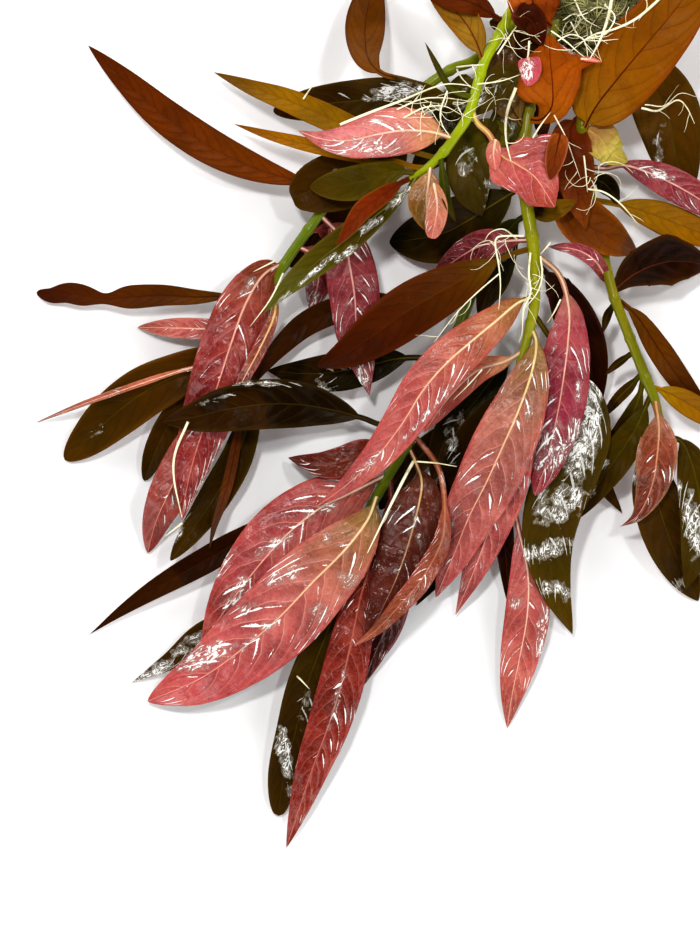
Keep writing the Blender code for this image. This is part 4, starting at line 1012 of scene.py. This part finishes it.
grow_leaf("right_magenta_arc", "magenta", "stem_right",
    [(79, 52), (77, 56), (73.5, 61.3), (68, 64.7), (59.5, 66)], 4.8, small=True)
grow_leaf("black_right", "maroon", "stem_right",
    [(79, 52.5), (85, 57.5), (92, 60.7), (99, 61.7), (109, 60.5)], 15, roll=8,
    outline=[(0, 0.85, 0.85), (0.13, 2.2, 3.5), (0.25, 4, 6), (0.36, 5.5, 7), (0.58, 7.2, 8.6),
             (0.79, 5, 5), (1, 0.3, 0.3)],
    tones=[(60, 34, 3), (28, 10, 1), (22, 6, 0), (36, 15, 1)], margin=(96, 54, 4))
grow_leaf("olive_glare", "olive", "stem_middle",
    [(54.8, 46), (63, 34), (70.5, 23), (71, 11), (66.5, 0), (61.5, -11), (59.5, -23), (61.5, -36),
     (67, -50.5)], 18, petiole=0.22, base=0.7,
    wet=[(70, 14, 6, 18, -8, 1.1), (63, -11, 9, 6, 35, 0.9), (60, -25, 9, 3, 15, 0.8),
         (62, -37, 6, 3.2, -15, 0.75), (52, -27, 2, 5, 0, 0.8)],
    tones=[(62, 51, 5), (65, 51, 10), (67, 53, 10), (84, 63, 1)])

# The middle bunch: the broad pink and magenta leaves, under side up, that hang from the middle
# stem, and the front leaves of the left and the lower stem beside them.
grow_leaf("middle_pink", "pink", "stem_middle",
    [(52.3, 35), (46.5, 31.5), (38, 28.5), (30, 21), (22, 10)], 8, small=True, fold=-0.12,
    cup=-0.1,
    tones=[(207, 167, 101), (189, 104, 74), (184, 86, 74), (175, 77, 74)])
grow_leaf("magenta_wet", "magenta", "stem_middle",
    [(55.2, 64), (62.5, 57.5), (65.5, 47), (65.2, 37), (64, 27), (62, 15), (59, 2), (55.5, -8.8)],
    16, petiole=0.2, fold=-0.14, cup=-0.1, point=0.75,
    wet=[(60, 5, 6, 8, 0, 1.0), (58, 19, 5, 2, 20, 0.6), (69, 27, 1.4, 9, -8, 0.85),
         (61, 41, 1.2, 9, 0, 0.6), (67, 11, 2, 6, -10, 1)],
    tones=[(198, 158, 120), (152, 56, 66), (145, 49, 68), (128, 34, 43)], rib=(221, 183, 150, 1))
grow_leaf("pink_behind_broad", "pink", "stem_middle",
    [(50, 25), (49.5, 10), (47, -3), (42.8, -16), (37.8, -30), (31.7, -45)], 14, petiole=0.04,
    fold=-0.12, cup=-0.1, arch=2, point=1.1,
    tones=[(138, 71, 51), (164, 77, 72), (169, 76, 74), (166, 68, 68)])
grow_leaf("pink_broad", "pink", "stem_middle",
    [(54, 42), (55.8, 37), (54.3, 28), (50.5, 17), (45.7, 6), (40.7, -5), (35.5, -15.5), (31, -27),
     (25.8, -39.5)], 19, petiole=0.05, fold=-0.12, cup=-0.12, arch=6, point=0.9,
    wet=[(31, -18, 1.4, 9, -22, 0.7), (54, 18, 1.2, 9, -12, 0.7), (47, 28, 1.6, 7, -15, 0.9),
         (44, -22, 3, 6, -20, 0.6)],
    tones=[(140, 124, 44), (160, 104, 80), (168, 94, 84), (172, 84, 80), (174, 74, 74)],
    rib=(226, 204, 140, 1))
grow_leaf("red_left", "red", "stem_left",
    [(-19.5, 61.5), (-26, 57.5), (-31.5, 48.5), (-35.5, 37.5), (-39.5, 25), (-43.5, 13), (-47, 2),
     (-49.3, -8), (-50.5, -16)], 18, petiole=0.03, fold=-0.14, cup=-0.12, base=0.5, point=0.8,
    arch=5,
    wet=[(-43, -5, 2.6, 9, -20, 0.9), (-40, 3, 2, 8, -10, 0.8), (-30, 54, 4, 3, 30, 0.5)])
grow_leaf("left_narrow_pink", "pink", "stem_left",
    [(-22.6, 55.8), (-22.6, 46), (-27, 35.5), (-32.5, 25), (-37.5, 14)], 4.2, small=True,
    fold=-0.1, cup=-0.05, arch=6,
    tones=[(170, 130, 60), (120, 52, 30), (104, 42, 24), (90, 36, 20)], rib=(226, 190, 116, 1))
grow_leaf("dark_front_left", "olive", "stem_lower",
    [(21, 14), (10.5, 12.5), (4, 14.5), (-4, 16.7), (-14, 18.5), (-25, 18.7), (-36, 17.3),
     (-46, 15), (-56, 13.5)], 15, petiole=0.24, point=0.8,
    wet=[(-28, 25, 13, 0.7, -2, 0.9), (-41, 20, 7, 1.0, 16, 0.6)],
    tones=[(46, 34, 0), (28, 14, 0), (26, 11, 0), (26, 10, 0)], rib=(60, 40, 3, 0.9),
    margin=(70, 51, 14))

# The lower bunch: the largest pink leaves in front, at the tip of the lower stem, with the
# maroon and red-brown leaves between them.
grow_leaf("pink_behind_large", "pink", "stem_lower",
    [(12, -2), (6, -5), (-1, -8.5), (-9, -12.5), (-19, -20.5), (-28, -30.5), (-36, -41),
     (-44.5, -53.5)], 21.5, petiole=0.06, fold=-0.12, cup=-0.12, base=0.7, point=0.85, arch=5,
    wet=[(-33, -38, 7, 4, 50, 1), (-22, -23, 7, 2.4, 30, 0.9), (-9, -13, 7, 2.4, 20, 0.9),
         (-39, -30, 6, 2.2, 60, 1)],
    tones=[(138, 71, 49), (164, 72, 72), (167, 68, 70), (152, 49, 45)])
grow_leaf("redbrown_small", "red", "stem_lower",
    [(16, 5), (5, 4.3), (-2, 1.5), (-9, 0.6), (-18.5, 2.6)], 9.5, fold=-0.1,
    tones=[(138, 54, 38), (114, 43, 27), (107, 38, 22), (102, 32, 18)], rib=(138, 66, 42, 0.6),
    vein=(123, 51, 34, 0.3))
grow_leaf("maroon_lower", "maroon", "stem_lower",
    [(17.5, 6.5), (19.6, 1.5), (21.5, -5), (20, -14), (17, -25), (13.3, -35), (9, -44),
     (4.5, -53)], 18, petiole=0.14, fold=-0.14, cup=-0.1, base=0.6,
    wet=[(20, -18, 1.2, 8, 10, 0.8)],
    tones=[(97, 44, 17), (86, 34, 20), (83, 30, 19), (77, 27, 20)], rib=(208, 168, 114, 1),
    vein=(119, 63, 50, 0.5), skin="soft", back=(53, 38, 5))
grow_leaf("lower_folded", "red", "stem_lower",
    [(19, 10), (27, -2), (28, -20), (22, -33), (15, -41.5), (8, -49), (1, -54)], 6.5, small=True,
    petiole=0.3,
    tones=[(106, 51, 32), (138, 68, 44), (140, 68, 44), (138, 80, 49)], rib=(175, 116, 77, 0.8))
grow_leaf("pink_front_large", "pink", "stem_lower",
    [(8, -9), (5, -16.5), (-2, -25.5), (-11, -34.5), (-21, -45), (-32, -54.5), (-45, -63.7),
     (-61, -70.8)], 24.5, petiole=0.03, fold=-0.1, cup=-0.14, base=0.62, point=0.72, arch=9,
    start=17,
    wet=[(-43, -57, 9, 3.4, 22, 1.2), (-20, -32.5, 6, 2.6, 25, 1), (-6, -21.5, 2.6, 2, 30, 0.9),
         (-1, -34, 3, 4, 60, 0.8), (-9, -44, 3.5, 3, 60, 0.75), (-27, -50, 8, 2.0, 42, 0.8),
         (-31, -43, 7, 1.6, 20, 0.7), (-16, -27, 6, 1.4, 40, 0.9)],
    tones=[(108, 104, 22), (168, 104, 74), (178, 92, 84), (186, 84, 84), (190, 80, 82),
           (190, 74, 76)], rib=(230, 202, 150, 1))

# Half hidden dark blades, seen in the gaps between the stems. Each lies level at a height of
# its own, and nothing rests on it.
grow_leaf("gap_left", "olive", None,
    [(52, 118), (45, 115), (37, 110), (27, 107)], 11, small=True, level=32,
    wet=[(38, 111, 8, 3, 20, 0.8)],
    tones=[(84, 72, 20), (76, 62, 12), (68, 56, 10)])
grow_leaf("gap_middle", "olive", None,
    [(53, 113), (49, 107), (46, 101), (44.5, 92)], 10, small=True, level=26,
    wet=[(47, 104, 3, 5, 0, 0.7)],
    tones=[(84, 84, 16), (66, 62, 12), (50, 40, 10)])
grow_leaf("gap_lower", "olive", None,
    [(47, 32), (38, 20), (29, 9), (25, -4)], 10, small=True, level=4,
    wet=[(31, 12, 3, 6, -30, 0.6)],
    tones=[(34, 34, 4), (26, 24, 3), (22, 18, 2)])
grow_leaf("gap_upper", "olive", None,
    [(35, 118), (32, 108), (27, 97), (19, 89)], 12, small=True, level=9,
    wet=[(30, 103, 3, 6, -30, 0.6)],
    tones=[(92, 84, 24), (78, 70, 16), (60, 48, 8)])
grow_leaf("gap_top", "brown", None,
    [(42, 134), (51, 130), (57, 116), (58, 98)], 9, small=True, level=9,
    tones=[(84, 50, 10), (76, 40, 8), (60, 26, 4)])
grow_leaf("gap_centre", "olive", None,
    [(29, 12), (21, 3), (14, -4), (9, -13)], 8, small=True, level=3,
    tones=[(34, 30, 4), (28, 20, 3), (24, 14, 2)])
grow_leaf("gap_left_upper", "brown", None,
    [(4, 82), (-4, 76), (-12, 68), (-18, 60)], 7, small=True, level=3,
    tones=[(60, 44, 6), (56, 32, 4), (50, 22, 3)])

# The front stem lies over everything else on the left, with its gold, olive and pink leaves.
# The longest leaves of the middle stem cross over the rest between them.
lay_stem("stem_front")
grow_leaf("gold_narrow", "gold", "stem_front",
    [(23, 89.2), (18.5, 89.6), (13, 91.4), (5, 92.2), (-5, 94.6), (-15, 97), (-25, 99.7),
     (-35, 103)], 4.5, droop=12, petiole=0.12,
    tones=[(138, 103, 3), (171, 116, 3), (169, 111, 3), (123, 68, 10)])
grow_leaf("gold_long", "gold", "stem_front",
    [(26, 92), (18, 94.4), (9, 97.5), (0, 101.3), (-10, 106), (-20, 110.3), (-30, 114),
     (-41, 118.6)], 8, droop=10, petiole=0.1,
    tones=[(97, 85, 5), (138, 100, 5), (152, 107, 6), (97, 64, 23)])
grow_leaf("olive_small", "olive", "stem_front",
    [(20.3, 87.5), (14, 88.2), (8, 86.5), (0, 84.5), (-12, 83.7)], 10.5, droop=20, point=0.75,
    tones=[(84, 77, 0), (83, 68, 0), (77, 63, 0), (70, 56, 0)], margin=(106, 89, 10))
grow_leaf("olive_folded", "olive", "stem_front",
    [(20.5, 87.5), (16.5, 82), (7.5, 74.8), (-2, 67.3), (-11, 60.5), (-19, 53.5), (-26, 46)], 9,
    droop=8, fold=0.35,
    wet=[(-9.5, 59.5, 7, 1.0, 42, 1), (-1, 64, 5, 1.3, 42, 1), (6, 72, 4, 1.5, 35, 1),
         (15, 80.5, 6, 1.3, 42, 1), (-21, 49, 5, 1.2, 50, 0.6)],
    tones=[(70, 72, 8), (66, 60, 6), (84, 78, 14), (104, 108, 40)], margin=(110, 104, 36),
    rib=(150, 140, 60, 0.8))
grow_leaf("front_orange", "orange", "stem_front",
    [(18.6, 86.3), (15, 84.6), (9.5, 80.7), (4, 76.7), (0, 71.5), (-4, 66)], 6, small=True,
    droop=16, arch=4,
    tones=[(96, 40, 8), (116, 40, 6), (128, 48, 8), (110, 40, 8)], margin=(150, 92, 24),
    rib=(84, 26, 4, 0.5))
grow_leaf("middle_gold", "gold", "stem_middle",
    [(52.6, 81), (57, 77), (61, 76.7), (67.5, 79.3)], 6.5, small=True,
    tones=[(123, 102, 10), (114, 90, 5), (106, 77, 3), (97, 68, 1)])
grow_leaf("middle_magenta", "magenta", "stem_middle",
    [(54.6, 68), (47, 67.5), (39, 66), (31, 61.5), (24, 56)], 9.5, small=True, droop=12,
    fold=-0.12, cup=-0.1,
    tones=[(120, 50, 45), (118, 36, 44), (110, 32, 42), (96, 28, 36)])
grow_leaf("umber_long", "brown", "stem_middle",
    [(54.8, 65.5), (47, 63), (38, 58.3), (28, 52.8), (18, 47), (8, 40), (-1, 34), (-10, 30)], 16,
    petiole=0.15, droop=14, fold=-0.08, cup=-0.1, point=0.8, arch=6,
    wet=[(20, 52, 10, 0.8, 30, 0.4)],
    tones=[(119, 96, 14), (81, 41, 0), (74, 27, 0), (65, 22, 0)], rib=(99, 53, 6, 0.8),
    margin=(114, 51, 14))
grow_leaf("pink_folded", "pink", "stem_front",
    [(36, 107), (38, 102.5), (41.5, 99), (45, 93), (50, 90), (55.5, 86), (61, 77.5)], 18, droop=34,
    fold=-0.14, cup=-0.08, outline=[(0, 0.85, 0.85), (0.37, 0.9, 0.9), (0.47, 8, 6), (0.58, 8, 10),
                                    (0.68, 7.5, 14), (0.79, 7.2, 6.5), (0.9, 6.5, 4),
                                    (1, 0.4, 0.4)],
    tones=[(186, 170, 66), (198, 104, 88), (188, 80, 80), (164, 66, 46)], rib=(214, 192, 96, 1))
grow_leaf("salmon_long", "pink", "stem_middle",
    [(55.3, 51), (50, 48.8), (44, 43.8), (37, 38), (29, 31), (22, 23), (15.5, 12.7), (8, 3),
     (-1, -5.5), (-10, -12)], 14, petiole=0.04, fold=-0.16, cup=-0.12, arch=12, droop=16, base=0.6,
    wet=[(25, 18, 17, 1.0, 47, 0.85), (5, 0, 9, 1.4, 42, 0.75)],
    tones=[(170, 122, 50), (168, 90, 66), (178, 82, 78), (178, 78, 78), (172, 70, 70)],
    rib=(228, 210, 156, 1))
grow_leaf("front_gold_pink", "pink", "stem_front",
    [(24, 90), (23.4, 84), (22.8, 78), (24.5, 69)], 11, small=True, droop=33, fold=-0.2,
    tones=[(172, 128, 88), (160, 110, 66), (134, 92, 26), (114, 80, 10)], vein=(176, 130, 60, 0.4),
    margin=(170, 110, 40))
grow_leaf("front_green", "olive", "stem_front",
    [(27, 93), (28, 85), (29, 79), (31.5, 73)], 3, small=True, droop=33,
    tones=[(62, 77, 1), (53, 63, 1), (44, 50, 0), (53, 51, 1)])
grow_leaf("pink_wet", "pink", "stem_front",
    [(31, 98), (24, 99.8), (16, 100.2), (8, 99), (0, 97.3), (-8, 97.7), (-16, 100.5)], 14.5,
    droop=33, arch=5, fold=-0.14, cup=-0.14, petiole=0.08, base=0.6, point=1.2,
    wet=[(6, 95.5, 9, 3.2, 0, 0.95), (7, 102.5, 5, 1.5, 0, 0.9), (-3, 95, 5, 2.4, 0, 0.8),
         (16, 101, 5, 1.2, -20, 0.9)],
    tones=[(200, 150, 60), (214, 124, 114), (216, 112, 116), (160, 60, 52)],
    vein=(232, 176, 156, 0.5))
grow_leaf("front_thin", "olive", "stem_front",
    [(37, 110), (31, 112), (28, 115.7), (25, 121.3), (22.4, 126.6)], 2, small=True, droop=38,
    tones=[(97, 111, 10), (62, 72, 10), (53, 56, 10), (49, 51, 10)])

# The top of the bunch, over the wool: broad orange and amber leaves, some of them folded,
# whose tones hold a painted glow of the light through them as well as their own colour.
grow_leaf("orange_large", "orange", "stem_right",
    [(70, 100), (73.5, 107.5), (80.5, 116.5), (88, 125.5), (96, 135), (104, 146), (112, 157.5)],
    22, droop=30, arch=12, petiole=0.05, base=0.4, point=0.8,
    tones=[(178, 124, 22), (150, 92, 6), (134, 78, 3), (134, 82, 3), (126, 76, 3)])
grow_leaf("orange_folded", "orange", "stem_middle",
    [(53, 104), (57, 103.8), (60.3, 107.5), (60.5, 114), (59.8, 121), (59.4, 129)], 20, droop=38,
    outline=[(0, 0.85, 0.85), (0.13, 1.2, 1.2), (0.25, 4, 4), (0.35, 6, 8), (0.5, 8, 11.3),
             (0.64, 9, 9.5), (0.73, 15, 8.5), (0.82, 7, 6), (0.91, 3, 2.2), (1, 0.3, 0.3)],
    wet=[(66, 124, 5, 1.0, -32, 0.9)],
    tones=[(168, 92, 14), (176, 94, 10), (166, 82, 8), (158, 76, 6)])
grow_leaf("orange_top", "orange", "stem_middle",
    [(61, 131), (57, 135), (53.5, 141), (50, 151)], 15, droop=30, arch=4, base=0.5,
    tones=[(168, 76, 18), (172, 80, 22), (190, 100, 30), (168, 84, 30)])
grow_leaf("amber_top", "orange", "stem_front",
    [(40, 120.5), (37.5, 127), (34, 133), (28.5, 139), (21, 147)], 9.5, droop=33, base=0.6,
    tones=[(146, 108, 28), (154, 114, 32), (140, 98, 22), (126, 80, 14)], rib=(92, 30, 6, 0.9))
grow_leaf("front_brown", "brown", "stem_front",
    [(46, 132.5), (38, 137.5), (28, 141), (17, 147)], 8, small=True, droop=28,
    tones=[(97, 38, 1), (99, 41, 0), (92, 36, 0), (88, 34, 0)])

# Lobes and turned-over corners that lie on the large blades, where the leaf below is folded
# back on itself and shows its other side.
grow_leaf("folded_corner", "magenta", None,
    [(53.2, 122), (53.8, 118), (53, 113.6)], 7, small=True, base=0.2,
    wet=[(52.6, 118.5, 2.2, 3.2, 0, 1.3)],
    tones=[(206, 84, 96), (206, 84, 96), (196, 76, 90)], margin=(214, 90, 90))
grow_leaf("dark_fold", "maroon", None,
    [(48.6, 134.4), (54, 133.4), (57.6, 125.6)], 9, small=True, base=0.35, point=0.75,
    tones=[(70, 30, 6), (66, 20, 5), (72, 18, 6)], margin=(84, 30, 8))
grow_leaf("spike_tip", "pink", None,
    [(68.8, 121.6), (71.5, 121.4), (74.6, 120.8)], 1.5, small=True,
    tones=[(206, 96, 50), (214, 96, 80), (220, 110, 100)])
grow_leaf("folded_side", "orange", None,
    [(62.8, 99.2), (61.6, 94), (59.8, 85.6)], 6.4, small=True, base=0.3,
    tones=[(150, 76, 16), (120, 54, 8), (96, 38, 4)], margin=(206, 120, 80))
grow_leaf("pink_lobe", "pink", None,
    [(43.4, 97.6), (42.8, 93.4), (43.4, 88.4)], 4.6, small=True,
    tones=[(196, 130, 90), (206, 112, 98), (202, 100, 90)])
grow_leaf("front_lobe", "pink", None,
    [(25, 84.5), (26, 77), (24.4, 68.2)], 6.4, small=True, point=0.45,
    tones=[(176, 118, 66), (204, 122, 88), (220, 116, 98)], margin=(206, 130, 100))

# The roots: cream-white threads that leave the stems at their nodes, wander over and between
# the leaves, and tangle on the wool. Each is a thin tapering tube with finer side roots.
ROOT_SIDES = 6
DRAPE_STEP = 0.8
DRAPE_REACH = 4
FINE_RADIUS = 0.1
FINE_TIP_RADIUS = 0.05
FINE_CURL = 0.25

root_skin, tree, shader, where = finish("root_cream")
dirt = noise(tree, where, 300.0, 3.0)
tone = blend(tree, ramp(tree, dirt, 0.5, 0.8), (*linear(246, 240, 206), 1),
             (*linear(196, 176, 110), 1))
tree.links.new(tone, shader.inputs["Base Color"])
shader.inputs["Roughness"].default_value = 0.3
shader.inputs["Specular IOR Level"].default_value = 0.4


def drape(path, radius):
    """Fine stations along a plan path, laid on what is under them and sagging between."""
    line = spline(path, max(8, int(plan_length(np.array(path, float)) / DRAPE_STEP)))
    height = pile.height_under(line[:, 0], line[:, 1]) + radius
    near = np.arange(len(line))[:, None] + np.arange(-DRAPE_REACH, DRAPE_REACH + 1)
    near = np.clip(near, 0, len(line) - 1)
    held = height[near].max(axis=1)
    return np.column_stack([line, held[near].mean(axis=1)])


def wander(chance, start, heading, length):
    """A plan path that curls as it goes, from a place and a heading, a step a millimetre."""
    path, curl = [np.array(start, float)], chance.uniform(-FINE_CURL, FINE_CURL)
    for _ in range(int(length)):
        heading += curl + chance.uniform(-0.2, 0.2)
        path.append(path[-1] + (math.cos(heading), math.sin(heading)))
    return path


def grow_roots(name, threads, seed, side_roots=0.0, tangles=()):
    """One piece of root threads, given as (radius, plan points). Side roots are per millimetre.

    A tangle is (x, y, reach along x, reach along y, number of fine threads).
    """
    chance = random.Random(seed)
    shape = bmesh.new()
    fine = []
    for radius, path in threads:
        axis = drape(path, radius)
        share = np.linspace(0, 1, len(axis))
        tube(shape, axis, radius * (1 - 0.75 * share ** 2), ROOT_SIDES)
        for station in range(4, len(axis) - 3):
            if chance.random() < side_roots * DRAPE_STEP:
                ahead = axis[station + 2, :2] - axis[station - 2, :2]
                heading = math.atan2(ahead[1], ahead[0])
                heading += chance.choice((-1, 1)) * chance.uniform(0.5, 1.2)
                fine.append(wander(chance, axis[station, :2], heading, chance.uniform(4, 9)))
    for x, y, far, near, count in tangles:
        for _ in range(count):
            start = (x + far * chance.gauss(0, 0.5), y + near * chance.gauss(0, 0.5))
            fine.append(wander(chance, start, chance.uniform(0, 6.28), chance.uniform(6, 13)))
    for path in fine:
        axis = drape(path, FINE_RADIUS)
        radii = np.linspace(chance.uniform(FINE_RADIUS, 0.16), FINE_TIP_RADIUS, len(axis))
        tube(shape, axis, radii, ROOT_SIDES)
    close_tubes(shape, ROOT_SIDES)
    put(name, shape, root_skin, "stem")


grow_roots("roots_front", [
    (0.5, [(49.5, 113), (47, 106), (46.5, 98), (48, 91)]),
    (0.42, [(-3, 102), (7, 106), (15, 109), (22, 112), (29, 114), (36, 113.5)]),
    (0.3, [(-14, 110), (-11, 114.5)]),
    (0.3, [(32, 119.5), (40, 119.8)]),
    (0.26, [(32, 119), (33.5, 116), (36, 113)]),
    (0.28, [(29, 112), (27, 106), (27.5, 102), (30, 98)]),
    (0.28, [(16, 104), (22, 107), (28, 107.5), (33, 105)]),
    (0.26, [(14, 106.5), (21, 109.5), (27, 110), (35, 109)]),
    (0.3, [(54.5, 98), (57, 102), (60, 106)]),
    (0.24, [(38, 114), (45, 115), (51, 117)]),
    (0.34, [(53.5, 127), (53, 122), (51.5, 118)]),
    (0.3, [(44, 123), (48, 129), (51, 133)]),
], 3, 0.05, [(26, 107, 9, 4, 20), (42, 112, 6, 6, 11), (48, 130, 3, 5, 10)])
grow_roots("roots_wool", [
    (0.55, [(78.5, 141), (77, 134), (74.5, 127), (71.5, 121.5)]),
    (0.45, [(94, 141), (86, 134), (79, 130.5), (72, 128.5), (66, 124)]),
    (0.3, [(67, 140), (70, 134), (75, 131)]),
    (0.28, [(66, 133), (69, 128), (74, 127), (80, 127.5)]),
    (0.26, [(76, 138), (79, 134), (76, 129), (70, 127), (73, 122)]),
    (0.24, [(62, 127), (66, 129), (70, 127), (71, 121)]),
    (0.2, [(68, 134.6), (70.8, 135.5), (74.1, 137.3), (76.8, 136.7), (76.2, 139)]),
    (0.2, [(63.6, 133.4), (66.9, 135.3), (68.9, 134), (68.1, 132), (66, 130), (63, 129)]),
    (0.22, [(67, 126), (70.8, 127.4), (74.1, 127.7), (77, 126)]),
    (0.26, [(60, 130), (64.8, 126.5), (68.1, 123.5), (71, 121.4)]),
    (0.2, [(88.2, 140), (88.5, 136.7), (86, 133)]),
], 5, 0.015, [(71, 129, 6, 6, 9), (80, 137, 5, 4, 3)])
grow_roots("roots_right", [
    (0.34, [(87, 107), (92, 106.5), (98, 110), (101, 108), (103.5, 103)]),
    (0.28, [(70, 93), (70.5, 88), (71, 82)]),
    (0.3, [(71, 83), (76, 82), (81, 78.5), (87, 72)]),
    (0.22, [(61, 105), (65, 97), (69, 86)]),
    (0.2, [(88, 108), (94, 108), (99, 112), (104, 111)]),
], 7, 0.12, [(73, 87, 2, 5, 7)])
grow_roots("roots_middle", [
    (0.34, [(54, 64), (53.5, 58), (54, 52), (52, 47), (51.5, 40), (50.5, 37)]),
    (0.3, [(57, 63), (57.5, 57), (56, 52), (52, 47)]),
    (0.34, [(52, 69), (47, 69), (44, 68.5), (43.5, 66), (44.5, 60), (45, 54), (44.5, 47)]),
    (0.26, [(50, 68), (46, 71), (42, 70), (40, 67)]),
    (0.3, [(60, 67), (57, 63.5)]),
    (0.28, [(63, 50), (61, 46), (59, 43)]),
    (0.24, [(45, 58), (38, 52), (32, 46), (25, 37)]),
    (0.22, [(39.5, 29), (36, 25), (31, 20)]),
], 11, 0.08, [(54, 55, 1.5, 6, 9), (45, 67, 4, 2, 6)])
grow_roots("roots_lower", [
    (0.5, [(19, 1.5), (16, -4), (11, -14), (5.2, -26)]),
    (0.26, [(20, 1.5), (26, 1), (32, 0)]),
    (0.3, [(-16, -63), (-14, -65), (-12.2, -67)]),
], 13)
grow_roots("roots_left", [
    (0.42, [(-48.6, 13.4), (-52.5, 4), (-52.8, -4), (-50.4, -15.5)]),
    (0.34, [(-50.4, -17), (-53, -19), (-55.5, -21)]),
    (0.28, [(-22, 62), (-26, 60), (-29, 58.5)]),
    (0.28, [(-20, 58), (-24, 50), (-30, 42)]),
], 17)
